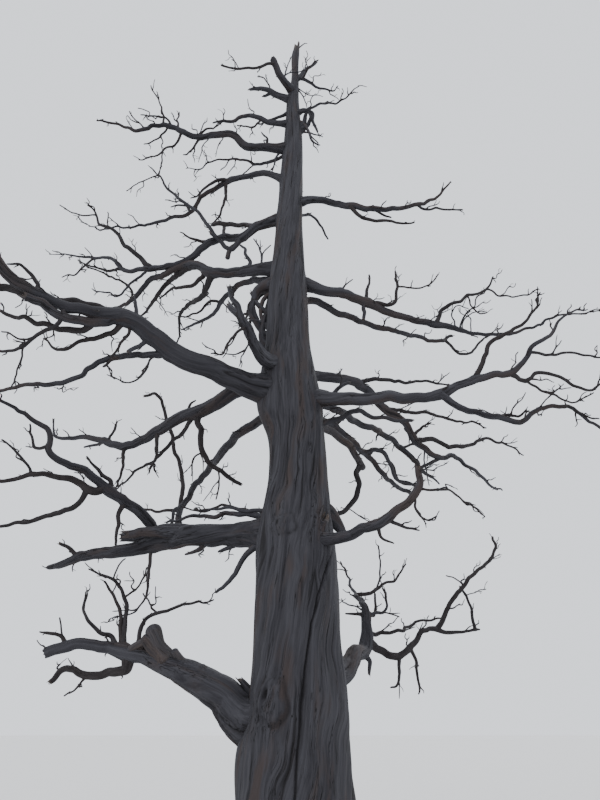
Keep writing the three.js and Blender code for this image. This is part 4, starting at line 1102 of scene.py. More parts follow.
@dataclass
class Piece:
    """Gathers tubes and rings into one mesh.

    Each point also keeps its place in a straightened limb, which carries the grain, and its shade and wear:
    the painted shade of cracks and hollows, how freshly torn it is, how much paler it is painted where a
    burl catches the light, and its limb's tone.
    """

    name: str
    points: list[Array] = field(default_factory=list)
    straight: list[Array] = field(default_factory=list)
    wear: list[Array] = field(default_factory=list)
    quads: list[Array] = field(default_factory=list)
    tris: list[Array] = field(default_factory=list)
    count: int = 0

    def add(self, rings: Array, straight: Array, wear: Array, nose: float = 0.0) -> None:
        """Adds closed skins over rings of points.

        Args:
            rings: Points by skin, ring and side.
            straight: Their places in a straightened limb.
            wear: Their painted crack shade, torn wood with painted burl light, and tone.
            nose: How far the end's middle stands out, as a share of the last ring's radius.
        """
        skins, count, sides = rings.shape[:3]
        middle = rings.mean(axis=2)
        radius = np.linalg.norm(rings[:, -1] - middle[:, -1:], axis=-1).mean(axis=1)
        ahead = unit(middle[:, -1] - middle[:, -2])
        ends = np.stack([middle[:, 0], middle[:, -1] + ahead * (nose * radius)[:, None]], axis=1)
        size = count * sides + 2
        block = np.concatenate([rings.reshape(skins, -1, 3), ends], axis=1)
        self.points.append(block.reshape(-1, 3))
        for store, values in ((self.straight, straight), (self.wear, wear)):
            caps = values[:, [0, -1]].mean(axis=2)
            store.append(np.concatenate([values.reshape(skins, -1, 3), caps], axis=1).reshape(-1, 3))
        first = self.count + size * np.arange(skins)[:, None]
        ring, side = np.meshgrid(np.arange(count - 1), np.arange(sides), indexing="ij")
        a, b = (ring * sides + side).ravel(), (ring * sides + (side + 1) % sides).ravel()
        quads = np.stack([a, b, b + sides, a + sides], axis=-1)
        self.quads.append((first[..., None] + quads[None]).reshape(-1, 4))
        rim, after = np.arange(sides), (np.arange(sides) + 1) % sides
        last = (count - 1) * sides
        low = np.stack([np.full(sides, size - 2), after, rim], axis=-1)
        high = np.stack([np.full(sides, size - 1), last + rim, last + after], axis=-1)
        self.tris.append((first[..., None] + np.vstack([low, high])[None]).reshape(-1, 3))
        self.count += size * skins

    def triangles(self) -> int:
        """Counts the triangles gathered so far."""
        return sum(2 * len(part) for part in self.quads) + sum(len(part) for part in self.tris)

    def build(self, finish: "Finish", slot: str, replaced: tuple[str, ...]) -> None:
        """Makes the mesh object and fits it into the frame.

        Args:
            finish: Its material.
            slot: The record's slot for its finish; not used.
            replaced: Names of the solids that it stands for.
        """
        mesh = bpy.data.meshes.new(self.name)
        points = Reach.trim(np.concatenate(self.points))
        faces = np.concatenate(self.quads).tolist() + np.concatenate(self.tris).tolist()
        mesh.from_pydata(points, [], faces)
        for label, parts in (("straight", self.straight), ("wear", self.wear)):
            layer = mesh.attributes.new(label, "FLOAT_VECTOR", "POINT")
            layer.data.foreach_set("vector", np.concatenate(parts).astype(np.float32).ravel())
        mesh.shade_smooth()
        mesh.materials.append(finish.material)
        made = bpy.data.objects.new(self.name, mesh)
        bpy.context.scene.collection.objects.link(made)
        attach(made, "root")
        if replaced:
            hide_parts(*replaced)
        LOG.info("%s: %d triangles, in place of %s", self.name, self.triangles(), replaced or "nothing")


def frames_along(centres: Array) -> tuple[Array, Array, Array]:
    """Carries a pair of side directions along lines without twisting them.

    Args:
        centres: Points by line and ring.

    Returns:
        The direction along, and the two directions across, at each point.
    """
    along = unit(np.gradient(centres, axis=1))
    steep = np.abs(along[:, 0, 2:3]) > 0.9
    start = np.where(steep, np.array([[1.0, 0.0, 0.0]]), np.array([[0.0, 0.0, 1.0]]))
    side = np.empty_like(along)
    for k in range(centres.shape[1]):
        start = unit(start - (start * along[:, k]).sum(-1, keepdims=True) * along[:, k])
        side[:, k] = start
    return along, side, np.cross(along, side)


def spokes(angle: Array, side: Array, other: Array) -> Array:
    """Gives the direction of each point of a ring from its middle, from two directions across the limb."""
    return np.cos(angle)[:, None] * side[..., None, :] + np.sin(angle)[:, None] * other[..., None, :]


def own_place(number: Array | int) -> Array | float:
    """Picks where in the grain a limb lies, so that neighbours don't show the same streaks."""
    return 7.3 * (number % 97)


def own_tone(number: Array | int) -> Array | float:
    """Picks a limb's tone, from 0 to 1."""
    return number * 37 % 100 / 100


@dataclass
class Bough:
    """One stout branch as a mesh with relief: collar, lumps, grain, cracks, knots under its forks, end."""

    branch: Branch
    seed: int
    buried: float
    collar: float
    children: list[Shoot] = field(default_factory=list)
    end: End = End.POINTED
    # How much paler the wood is painted all over, standing in for the light a rounded burl catches.
    lit_paleness: float = 0.0
    relief: Relief = Relief()
    flare: float = 0.26
    face: float = 17.0
    most_sides: int = 64

    def _grid(self) -> tuple[Array, int]:
        """Picks the rings and the number of sides.

        Returns:
            The shares of the way where rings are, and the sides.
        """
        thick, length = self.branch.look[0], self.branch.length
        step = float(np.clip(0.14 * thick + 8, 13, 42))
        rings = max(5, math.ceil(length / step))
        sides = int(np.clip(round(math.pi * thick / self.face), 7, self.most_sides))
        return np.linspace(0, 1, rings + 1), sides

    def _radii(self, shares: Array) -> Array:
        """Gives the smooth radius of each ring, with the collar where the limb leaves its host.

        Args:
            shares: Shares of the way.

        Returns:
            The radii.
        """
        thick, length = self.branch.look[0], self.branch.length
        distance = shares * length
        swell = self.collar * thick * np.exp(-distance / (COLLAR_REACH * thick))
        past = np.maximum(distance - self.buried, 0)
        flare = self.flare * thick * np.exp(-past / (0.6 * thick))
        inside = np.clip(distance / max(self.buried, 1.0), 0, 1)
        return (self.branch.shown(shares) + swell + flare) / 2 * (0.55 + 0.45 * inside * (2 - inside))

    def _knots(self, shares: Array, angle: Array, across: tuple[Array, Array]) -> Array:
        """Swells the limb round the foot of each fork and twig.

        Args:
            shares: Shares of the way of the rings.
            angle: Angles round the limb.
            across: The two directions across the limb at each ring.

        Returns:
            What the radius grows by, for each ring and side.
        """
        grown = np.zeros((len(shares), len(angle)))
        for child in self.children:
            k = int(np.argmin(np.abs(shares - child.at)))
            heading = child.branch.heading(0.02)
            towards = math.atan2(float(heading @ across[1][k]), float(heading @ across[0][k]))
            thick = child.branch.look[0]
            radius = float(self.branch.shown(child.at)) / 2
            off = np.arctan2(np.sin(angle - towards), np.cos(angle - towards)) * radius
            distance = (shares - child.at) * self.branch.length
            wide = 0.75 * thick + 6
            away = (distance[:, None] / (1.5 * wide)) ** 2 + (off[None] / wide) ** 2
            grown += 0.30 * thick * np.exp(-away)
        return grown

    def _closing(self, ring: Array, along: Array, radius: float) -> tuple[Array, float, float]:
        """Shapes the end beyond the last ring.

        Args:
            ring: The last ring's points.
            along: Direction of the limb there.
            radius: Its radius.

        Returns:
            The added rings, how freshly torn they are, and how far the middle stands out.
        """
        middle = ring.mean(axis=0)
        out = ring - middle
        angle = 2 * math.pi * np.arange(len(ring)) / len(ring)

        def teeth(count: float, seed: int) -> Array:
            """Gives jagged heights round the ring, from 0 to 1."""
            jags = Noise.smooth(around(count, angle, 0.37), self.seed + seed)
            return np.clip(0.5 + 0.9 * jags, 0, 1)[:, None]

        if self.end is End.SPLINTERED:
            tall = 2.6 * radius
            rows = [(0.97, 0.25 * teeth(1.6, 3)), (0.86, 1.0 * teeth(1.6, 3) ** 1.6),
                    (0.60, 0.75 * teeth(2.6, 5) - 0.1), (0.30, 0.55 * teeth(2.6, 7) - 0.3)]
            return np.stack([middle + out * w + along * tall * h for w, h in rows]), 0.9, -0.4
        if self.end is End.ROUNDED:
            turns = np.radians([22, 42, 60, 76])
            lumpy = 1 + 0.12 * (teeth(1.8, 9) - 0.5)
            return np.stack([middle + out * math.cos(t) * lumpy + along * radius * 0.9 * math.sin(t)
                             for t in turns]), 0.1, 0.15
        rows = [(0.95, 0.16 + 0.5 * teeth(2, 3)), (0.74, 0.20 + 0.6 * teeth(3, 5)),
                (0.38, 0.05 + 0.4 * teeth(3, 7))]
        return np.stack([middle + out * w + along * radius * h for w, h in rows]), 0.5, -0.1

    def add_to(self, piece: Piece) -> None:
        """Adds the branch to a piece.

        Args:
            piece: The piece.
        """
        shares, sides = self._grid()
        centres = Crooks().bend(self.branch.at(shares), self.branch.shown(shares))[None]
        along, side, other = frames_along(centres)
        angle = 2 * math.pi * np.arange(sides) / sides
        distance = shares * self.branch.length
        wide, length = np.meshgrid(angle, distance)
        thick = max(float(self.branch.shown(0.3)), 20.0)
        spun = self.relief.grain_angle(wide, length, thick, self.seed)
        factor, crack_shade = self.relief.factors(wide, spun, length, thick, self.seed)
        radii = self._radii(shares)[:, None] * factor + self._knots(shares, angle, (side[0], other[0]))
        rings = centres[0][:, None] + spokes(angle, side[0], other[0]) * radii[..., None]
        # Rounded burls are painted paler, as if lit.
        torn_and_lit = np.full_like(crack_shade, self.lit_paleness)
        nose = 0.9
        if self.end is not End.POINTED:
            added, fresh, nose = self._closing(rings[-1], along[0, -1], float(radii[-1].mean()))
            rings = np.concatenate([rings, added])
            extra = len(added)
            rough = np.full((extra, sides), fresh) * np.linspace(0.3, 1, extra)[:, None]
            torn_and_lit = np.concatenate([torn_and_lit, rough])
            # The end rings are painted a little darker all over.
            crack_shade = np.concatenate([crack_shade, np.full((extra, sides), 0.15)])
            radii = np.concatenate([radii, np.repeat(radii[-1:], extra, axis=0) * 0.8])
            length = np.concatenate([length, length[-1:] + 12.0 * np.arange(1, extra + 1)[:, None]])
            spun = np.concatenate([spun, np.repeat(spun[-1:], extra, axis=0)])
        straight = around(radii, spun, length) * MM + own_place(self.seed)
        # Painted crack shade, torn wood with painted burl light, and the limb's tone.
        wear = np.stack([crack_shade, torn_and_lit, np.full_like(crack_shade, own_tone(self.seed))], axis=-1)
        piece.add(rings[None] * MM, straight[None], wear[None], nose)


class TwigMaker:
    """Makes many thin twigs at once, as slim tubes with a few sides."""

    @staticmethod
    def add(piece: Piece, shoots: list[Shoot], sides: int, rings_per_stride: int) -> None:
        """Adds twigs to a piece.

        Args:
            piece: The piece.
            shoots: The twigs.
            sides: Sides of each twig.
            rings_per_stride: How many rings each stride has.
        """
        by_strides: dict[int, list[Branch]] = {}
        for shoot in shoots:
            by_strides.setdefault(len(shoot.branch.points) - 1, []).append(shoot.branch)
        angle = 2 * math.pi * np.arange(sides) / sides
        for strides, branches in by_strides.items():
            shares = np.linspace(0, 1, strides * rings_per_stride + 1)
            lines = np.stack([branch.at(shares) for branch in branches])
            radii = np.stack([branch.shown(shares) for branch in branches]) / 2
            centres = Crooks().bend(lines, 2 * radii)
            side, other = frames_along(centres)[1:]
            order = np.arange(len(branches))
            knuckle = 1 + 0.12 * np.sin(5.1 * np.arange(len(shares))[None] + order[:, None])
            distance = shares[None] * np.array([branch.length for branch in branches])[:, None]
            fillet = 1 + 0.7 * np.exp(-distance / (1.4 * radii[:, :1]))
            radii = (radii * knuckle * fillet)[..., None]
            rings = centres[:, :, None] + spokes(angle, side, other) * radii[..., None]
            length = np.repeat(distance[..., None], sides, axis=2)
            straight = around(radii, angle, length) * MM + own_place(order)[:, None, None, None]
            tone = np.broadcast_to(own_tone(order)[:, None, None], length.shape)
            wear = np.stack([0 * length, 0 * length, tone], axis=-1)
            piece.add(rings * MM, straight, wear, 1.2)


@dataclass(frozen=True)
class HealedKnot:
    """A place where a bough was lost long ago: a folded swelling in a groove, with a small eye in it."""

    height: float
    bearing: float
    wide: float
    tall: float
    rim: float
    depth: float

    def shape(self, height: Array, angle: Array, base: Array) -> tuple[Array, Array]:
        """Works out what the knot does to the trunk.

        Args:
            height: Heights above the ground.
            angle: Angles round the axis.
            base: The trunk's radius there.

        Returns:
            What the radius grows by, and the painted shade of the groove, eye and cleft, from 0 to 1.
        """
        across = turn_between(angle, self.bearing) * base / (self.wide / 2)
        up = (height - self.height) / (self.tall / 2)
        round_it = np.arctan2(up, across)
        away = np.hypot(across, up) * (1 + 0.10 * np.sin(3 * round_it + 1) + 0.05 * np.sin(5 * round_it))
        swell = np.exp(-(away / 0.80) ** 3.2)
        groove = np.exp(-((away - 1.02) / 0.15) ** 2) * (0.65 + 0.35 * np.cos(round_it + 0.5))
        folds = 0.15 * np.sin(13 * away + 2 * round_it) * np.exp(-(away / 0.95) ** 4)
        eye = np.exp(-(np.hypot(across + 0.34, 0.8 * up - 0.22) / 0.20) ** 4)
        cleft = 0.7 * np.exp(-((across - 0.06 - 0.14 * np.sin(3 * up)) / 0.10) ** 2 - (up / 0.6) ** 4)
        cut = self.depth * (0.5 * groove + eye + 0.35 * cleft)
        # The second value is painted shade in the groove, eye and cleft that are cut in.
        return self.rim * (swell + folds) - cut, np.clip(0.75 * groove + 1.1 * eye + 0.6 * cleft, 0, 1)


@dataclass(frozen=True)
class Split:
    """A long crack that follows the grain through named places of the trunk, between two raised lips."""

    course: tuple[tuple[float, float], ...]
    wide: float
    depth: float
    lip: float

    def shape(self, height: Array, angle: Array, base: Array) -> tuple[Array, Array]:
        """Works out what the crack does to the trunk.

        Args:
            height: Heights above the ground.
            angle: Angles round the axis.
            base: The trunk's radius there.

        Returns:
            What the radius grows by, and the painted shade of the slit, from 0 to 1.
        """
        marks = np.array(sorted(self.course))
        bearing = np.degrees(np.unwrap(np.radians(marks[:, 1])))
        middle = np.radians(np.interp(height, marks[:, 0], bearing))
        off = angle - middle
        place = np.stack([height / 160, 0 * height, 0 * height + 3.3], axis=-1)
        across = np.arctan2(np.sin(off), np.cos(off)) * base + 9 * Noise.smooth(place, 7)
        low, high = marks[0, 0], marks[-1, 0]
        ends = np.clip((height - low) / 260, 0, 1) * np.clip((high - height) / 260, 0, 1)
        slit = np.exp(-(across / self.wide) ** 2) * ends
        lips = np.exp(-(across / (3.4 * self.wide)) ** 2) * ends
        # The slit is darkened with painted shade as well as cut in.
        return self.lip * lips - (self.depth + self.lip) * slit, slit


@dataclass(frozen=True)
class Trunk:
    """The trunk as one mesh: its solid's form, with twisted grain, furrows, knots and cracks in it."""

    sides: int = 288
    rings: int = 330
    furrow: float = 15.0
    ripple: float = 6.5
    check: float = 17.0
    spike: float = 420.0
    teeth: float = 190.0
    marks: tuple[HealedKnot | Split, ...] = (
        HealedKnot(1830, -121, 430, 540, 62, 70),
        HealedKnot(4060, -56, 190, 230, 26, 20),
        HealedKnot(3990, -113, 420, 300, 38, 16),
        HealedKnot(5170, -64, 90, 190, 12, 34),
        HealedKnot(2970, -111, 60, 150, 8, 26),
        HealedKnot(2420, 32, 240, 300, 30, 34),
        HealedKnot(3300, 118, 280, 330, 36, 40),
        HealedKnot(6650, 84, 200, 260, 28, 30),
        Split(((3720, -29), (3190, -55), (2690, -70), (2170, -81), (1630, -87), (1120, -91), (520, -95)),
              17, 34, 13),
        Split(((5490, -92), (5470, -70), (5430, -48)), 14, 16, 4),
        Split(((700, 62), (1900, 78), (3000, 96), (4200, 112)), 16, 30, 11),
        Split(((2400, 168), (3600, 184), (4700, 196)), 14, 24, 9),
    )

    @staticmethod
    def _grain_angle(height: Array, angle: Array) -> Array:
        """Gives an angle that stays the same along one fibre, which winds round the trunk and wavers."""
        waver = 0.17 * Noise.smooth(around(1.4, angle, height / 620), 91)
        return angle - SPIN * height + waver + 0.05 * Noise.smooth(around(3.6, angle, height / 240), 97)

    def _relief(self, height: Array, angle: Array, base: Array) -> tuple[Array, Array]:
        """Works out the grain of the bare wood.

        Args:
            height: Heights above the ground.
            angle: Angles round the axis.
            base: The trunk's radius there.

        Returns:
            What the radius grows by, and the painted shade of checks and furrows, from 0 to 1.
        """
        spun = self._grain_angle(height, angle)
        share = np.clip(base / 450, 0.25, 1)

        def along_grain(fine: float, span: float, seed: int, layers: int) -> Array:
            """Gives ripples that run with the grain."""
            return Noise.layers(around(fine, spun, height / span), layers, seed)

        broad, ripple = along_grain(3.2, 1900, 41, 3), along_grain(11, 700, 47, 3)
        slits, where = along_grain(5.2, 1300, 53, 2), along_grain(2.6, 800, 59, 2)
        checks = np.exp(-(slits / 0.075) ** 2) * np.clip(0.15 + 2.4 * where, 0, 1)
        push = self.furrow * broad * 2 + self.ripple * ripple - self.check * checks
        # The second value is painted shade in the checks and where the broad ripple sinks a furrow.
        return push * share, np.clip(checks + 0.8 * np.clip(-broad - 0.12, 0, 1), 0, 1)

    def build(self, finish: "Finish") -> None:
        """Makes the trunk.

        Args:
            finish: Its material.
        """
        share = np.linspace(0, 1, self.rings + 1)
        rows = HEIGHT * (0.72 * share + 0.28 * share ** 2)
        angle, height = np.meshgrid(2 * math.pi * np.arange(self.sides) / self.sides, rows)
        base = along_trunk(height, 2)
        radius = trunk_radius(height, angle)
        push, crack_shade = self._relief(height, angle, base)
        radius = radius + push
        # Knots and splits add painted shade where they are cut in.
        for mark in self.marks:
            grown, dark = mark.shape(height, angle, base)
            radius = radius + grown
            crack_shade = np.maximum(crack_shade, dark)
        radius = radius + 28 * np.clip((height - HEIGHT + 900) / 500, 0, 1)
        spike = np.clip((height - HEIGHT + self.spike) / self.spike, 0, 1)
        jags = Noise.smooth(around(2.4, angle, 0.0), 83)
        top = height - spike ** 2 * self.teeth * np.clip(0.45 - 1.2 * jags, 0, 1)
        points = around(radius, angle, top)
        points[..., 0] += along_trunk(height, 1)
        spun = self._grain_angle(height, angle)
        straight = around(radius, spun, height)
        # Painted shade of cracks and furrows, torn wood at the spike, and a middle tone.
        wear = np.stack([crack_shade, 0.7 * spike, 0 * crack_shade + 0.5], axis=-1)
        piece = Piece("trunk_wood")
        piece.add(points[None] * MM, straight[None] * MM, wear[None])
        piece.build(finish, "weathered_wood", ("trunk",))


@dataclass
class Dresser:
    """Makes each limb's two pieces: its wood, and its forks and twigs."""

    wood: "Finish"
    twigs: "Finish"
    BROKEN = 28.0       # a branch whose tip is thicker than this was broken off
    STOUTER = 1.12      # how much stouter a fork looks than its solid
    LOOKS = {               # thickness shown at foot and tip, and taper
        "broken_left": (345, 60), "hanging_left": (50, 10, 1.3), "rising_left": (165, 12, 0.92),
        "thin_left": (90, 22), "straight_back_left": (165, 84), "sagging_left": (275, 14, 0.92),
        "under_left": (92, 22), "level_left": (200, 18), "knuckled_left": (170, 8, 0.95),
        "arched_left": (115, 8, 1.1), "slender_left": (58, 8), "long_left": (160, 14),
        "upper_left": (110, 20), "crown_left": (125, 44), "prong_left": (125, 106), "loop_left": (78, 68),
        "crown_right": (64, 8), "spire_right": (50, 10), "upper_right": (128, 18),
        "main_right": (215, 10, 1.0), "mid_right": (170, 16), "leader_right": (80, 34),
        "hook_right": (50, 27), "high_right_under": (120, 45), "lower_right_back": (105, 70),
        "drooping_right": (135, 85), "rising_right": (150, 70),
    }
    COURSES = {             # thickness at equal steps, where a limb narrows in one place
        "low_left": (430, 425, 405, 375, 340, 245, 155, 150, 132, 126, 128),
        "low_right": (370, 300, 235, 215, 180, 92, 68, 52, 40, 30, 20),
        "high_right": (185, 155, 138, 104, 108, 52, 46, 38, 28, 16, 8),
        "broken_prong": (170, 165, 160, 155, 150, 140, 120, 78, 66, 60, 55),
        "great_left": (350, 338, 319, 298, 272, 225, 145, 132, 142, 135, 120),
        "lower_right": (135, 125, 118, 112, 106, 102, 98, 95, 90, 60, 25),
    }
    FORKS = {               # how much stouter a limb's forks look than their solid
        "low_left": 1.0, "low_right": 1.2, "rising_left": 1.3, "straight_back_left": 2.3,
        "great_left": 1.0, "thin_left": 1.0, "main_right": 0.78, "high_right_under": 2.0,
        "lower_right_back": 1.4, "rising_right": 0.9, "crossing_left": 0.9, "long_left": 1.0,
        "arched_left": 1.0, "upper_right": 1.3, "high_right": 1.1, "knuckled_left": 1.0,
        "level_left": 1.3,
    }
    FORK_LOOKS = {          # thickness shown by single forks, which start at a share of the way
        ("drooping_right", 0.96): (85, 60), ("low_left", 0.65): (120, 60), ("low_left", 0.62): (52, 14),
        ("broken_prong", 0.63): (38, 12), ("broken_prong", 0.5): (24, 8), ("broken_left", 0.83): (64, 40),
        ("under_left", 0.06): (28, 10), ("straight_back_left", 0.92): (82, 46),
        ("great_left", 0.5): (92, 100), ("great_left", 0.48): (42, 26), ("sagging_left", 0.31): (94, 50),
        ("prong_left", 0.88): (50, 28), ("low_right", 0.68): (72, 34), ("low_right", 0.96): (44, 30),
        ("low_right", 0.42): (60, 22),
    }
    ENDS = {"low_left": End.BLUNT, "drooping_right": End.ROUNDED, "crown_left": End.SPLINTERED,
            "prong_left": End.BLUNT, "loop_left": End.ROUNDED}

    def _end(self, branch: Branch, limb: Limb | None = None) -> End:
        """Picks how a branch ends, which may be a limb's stem."""
        natural = End.SPLINTERED if branch.look[1] > self.BROKEN else End.POINTED
        return natural if limb is None else limb.end or self.ENDS.get(limb.name, natural)

    @staticmethod
    def _buried(each: Grown) -> float:
        """Measures how much of a stem lies inside the trunk or the limb that it is on.

        Args:
            each: The limb.

        Returns:
            The length inside.
        """
        if each.limb.on:
            return 0.5 * float(each.stem.thick)
        shares = np.linspace(0, 0.6, 90)
        points = each.stem.at(shares)
        off = points[:, 0] - along_trunk(points[:, 2], 1)
        out = np.hypot(off, points[:, 1]) > along_trunk(points[:, 2], 2)
        return float(shares[int(np.argmax(out))]) * each.stem.length

    def measure(self, grown: list[Grown]) -> None:
        """Gives each stem and fork the thickness that it shows.

        Args:
            grown: All limbs.
        """
        for each in grown:
            own = each.stem.look
            each.stem.course = self.COURSES.get(each.limb.name, ())
            chosen = self.LOOKS.get(each.limb.name, each.stem.course[::10] or own)
            each.stem.look = (*chosen, own[2])[:3]
            factor = self.FORKS.get(each.limb.name, self.STOUTER)
            for shoot in each.forks:
                most = 0.9 * float(shoot.host.shown(shoot.at))
                slim = min(1.0, 0.5 + shoot.branch.length / 1400)
                foot = min(factor * slim * shoot.branch.thick, most)
                usual = (foot, min(factor * shoot.branch.tip, 0.8 * foot))
                chosen = self.FORK_LOOKS.get((each.limb.name, shoot.at), usual)
                shoot.branch.look = (*chosen, shoot.branch.taper)

    def dress(self, name: str, members: list[Grown], grown: list[Grown], solids: tuple[str, ...]) -> None:
        """Makes the pieces of one limb and of the small limbs that belong to it.

        Args:
            name: What the pieces are called after.
            members: The limbs that go into them.
            grown: All limbs.
            solids: The solids that they stand for.
        """
        wood, fine = Piece(f"{name}_limb"), Piece(f"{name}_spray")
        for each in members:
            guests = [Shoot(other.stem, each.stem, other.limb.at, Rank.FORK) for other in grown
                      if other.limb.on == each.limb.name and other.limb.end is not End.ROUNDED]
            self._add_wood(wood, each, guests)
            self._add_spray(fine, each)
        wood.build(self.wood, "weathered_wood", solids[:1])
        if fine.count:
            fine.build(self.twigs, "twigs", solids[-1:])

    def _add_wood(self, wood: Piece, each: Grown, guests: list[Shoot]) -> None:
        """Adds a stem, with the knots under its forks, and its spurs.

        Args:
            wood: The piece.
            each: The limb.
            guests: Other limbs that start on it.
        """
        limb, seed = each.limb, each.number * 13
        small = [shoot for shoot in each.forks + each.twigs if shoot.host is each.stem]
        knots = guests + [shoot for shoot in small if shoot.rank is not Rank.TWIGLET]
        collar = COLLAR if limb.thick > 100 else COLLAR / 2
        end = self._end(each.stem, limb)
        # Rounded burls are painted paler, standing in for the light they catch.
        lit_paleness = 0.22 if end is End.ROUNDED else 0.0
        Bough(each.stem, seed, self._buried(each), collar, knots, end, lit_paleness).add_to(wood)
        for k, drawn in enumerate(limb.spurs):
            lump = Branch(drawn, each.stem.at(drawn.at), drawn.thick, drawn.tip)
            inside = float(each.stem.thickness(drawn.at)) / 2
            Bough(lump, seed + 5 + k, inside, 0.2, [], End.SPLINTERED).add_to(wood)

    def _add_spray(self, fine: Piece, each: Grown) -> None:
        """Adds forks, twigs and twiglets.

        Args:
            fine: The piece.
            each: The limb.
        """
        seed = each.number * 13
        small = [shoot for shoot in each.forks + each.twigs if shoot.rank is not Rank.TWIGLET]
        for k, shoot in enumerate(each.forks):
            kin = [child for child in small if child.host is shoot.branch]
            end = self._end(shoot.branch)
            Bough(shoot.branch, seed + 17 * k + 3, shoot.buried(), 0.17, kin, end).add_to(fine)
        TwigMaker.add(fine, [shoot for shoot in each.twigs if shoot.rank is Rank.TWIG], 5, 3)
        TwigMaker.add(fine, [shoot for shoot in each.twigs if shoot.rank is Rank.TWIGLET], 4, 2)


class Signal:
    """A value, place or colour that flows through a material, with arithmetic that makes the nodes."""

    def __init__(self, bench: "Bench", socket: bpy.types.NodeSocket) -> None:
        """Wraps an output socket."""
        self.bench, self.socket = bench, socket

    def _maths(self, how: str, first: "Signal | float", second: "Signal | float" = 0.0) -> "Signal":
        """Makes a Math node."""
        made = self.bench.node("ShaderNodeMath", {"operation": how}, {0: first, 1: second})
        return Signal(self.bench, made.outputs[0])

    def __add__(self, other: "Signal | float") -> "Signal":
        """Adds."""
        return self._maths("ADD", self, other)

    def __radd__(self, other: "Signal | float") -> "Signal":
        """Adds to a number."""
        return self._maths("ADD", other, self)

    def __sub__(self, other: "Signal | float") -> "Signal":
        """Subtracts."""
        return self._maths("SUBTRACT", self, other)

    def __rsub__(self, other: "Signal | float") -> "Signal":
        """Subtracts from a number."""
        return self._maths("SUBTRACT", other, self)

    def __mul__(self, other: "Signal | float") -> "Signal":
        """Multiplies."""
        return self._maths("MULTIPLY", self, other)

    def __rmul__(self, other: "Signal | float") -> "Signal":
        """Multiplies a number."""
        return self._maths("MULTIPLY", other, self)

    def __abs__(self) -> "Signal":
        """Drops the sign."""
        return self._maths("ABSOLUTE", self)

    def between(self, low: float, high: float) -> "Signal":
        """Rises smoothly from 0 at the low value to 1 at the high one.

        Args:
            low: Where the rise starts.
            high: Where it ends.

        Returns:
            The share of the rise.
        """
        settings = {"interpolation_type": "SMOOTHSTEP", "clamp": True}
        made = self.bench.node("ShaderNodeMapRange", settings, {0: self, 1: low, 2: high})
        return Signal(self.bench, made.outputs[0])

    def stretched(self, factors: Triple, shift: float = 0.0) -> "Signal":
        """Stretches a place along each axis and shifts it.

        Args:
            factors: Factor along each axis.
            shift: What is added along each axis.

        Returns:
            The new place.
        """
        moved = {0: self, 1: factors, 2: (shift, shift, shift)}
        made = self.bench.node("ShaderNodeVectorMath", {"operation": "MULTIPLY_ADD"}, moved)
        return Signal(self.bench, made.outputs[0])

    def noise(self, detail: float) -> "Signal":
        """Gives cloudy noise at this place.

        Args:
            detail: How many finer layers it has.

        Returns:
            Values round one half.
        """
        fields = {"Vector": self, "Scale": 1.0, "Detail": detail, "Roughness": 0.55}
        made = self.bench.node("ShaderNodeTexNoise", {"noise_dimensions": "3D"}, fields)
        return Signal(self.bench, made.outputs["Fac"])

    def parts(self) -> tuple["Signal", "Signal", "Signal"]:
        """Splits three values that travel as one."""
        made = self.bench.node("ShaderNodeSeparateXYZ", {}, {0: self})
        return tuple(Signal(self.bench, socket) for socket in made.outputs)

    def tinted(self, colour: "Signal | Triple", share: "Signal | float") -> "Signal":
        """Mixes a share of another colour into this one."""
        return self.bench.mix(self, colour, share)


class Bench:
    """Where one material's nodes are made."""

    def __init__(self, name: str) -> None:
        """Starts an empty material.

        Args:
            name: Its name.
        """
        self.material = bpy.data.materials.new(name)
        self.material.use_nodes = True
        self.tree = self.material.node_tree
        self.tree.nodes.clear()

    def node(self, kind: str, settings: dict[str, object],
             inputs: dict[str | int, object]) -> bpy.types.Node:
        """Makes a node.

        Args:
            kind: The node's type.
            settings: Its settings, made before its sockets are filled.
            inputs: A value or a signal for each socket.

        Returns:
            The node.
        """
        made = self.tree.nodes.new(kind)
        for name, value in settings.items():
            setattr(made, name, value)
        for name, value in inputs.items():
            socket = made.inputs[name]
            if isinstance(value, Signal):
                self.tree.links.new(value.socket, socket)
            else:
                socket.default_value = value
        return made

    def attribute(self, name: str) -> Signal:
        """Reads three values that each point of the mesh carries."""
        made = self.node("ShaderNodeAttribute", {"attribute_name": name}, {})
        return Signal(self, made.outputs["Vector"])

    def mix(self, first: Signal | Triple, second: Signal | Triple,
            share: Signal | float) -> Signal:
        """Mixes two colours.

        Args:
            first: The colour where the share is 0.
            second: The colour where it is 1.
            share: The share.

        Returns:
            The mixture.
        """
        ready = [(*each, 1.0) if isinstance(each, tuple) else each for each in (first, second)]
        settings = {"data_type": "RGBA", "clamp_factor": True}
        made = self.node("ShaderNodeMix", settings, {0: share, 6: ready[0], 7: ready[1]})
        return Signal(self, made.outputs[2])

    def finish(self, colour: Signal, roughness: Signal, relief: Signal, depth: float,
               specular: float) -> None:
        """Wires up the shader.

        Args:
            colour: The base colour.
            roughness: The roughness.
            relief: Fine height, from about 0 to 1.
            depth: What that height is, in metres.
            specular: How strongly the surface shines.
        """
        bumped = {"Strength": 1.0, "Distance": depth, "Height": relief}
        normal = Signal(self, self.node("ShaderNodeBump", {}, bumped).outputs["Normal"])
        skin = {"Base Color": colour, "Roughness": roughness, "Normal": normal,
                "Specular IOR Level": specular}
        shader = Signal(self, self.node("ShaderNodeBsdfPrincipled", {}, skin).outputs["BSDF"])
        self.node("ShaderNodeOutputMaterial", {}, {"Surface": shader})


class Finish:
    """A finish that makes its material once and hands it to each piece that wears it."""

    @cached_property
    def material(self) -> bpy.types.Material:
        """Gives the material."""
        return self.make()

    def make(self) -> bpy.types.Material:
        """Makes the material."""
        raise NotImplementedError


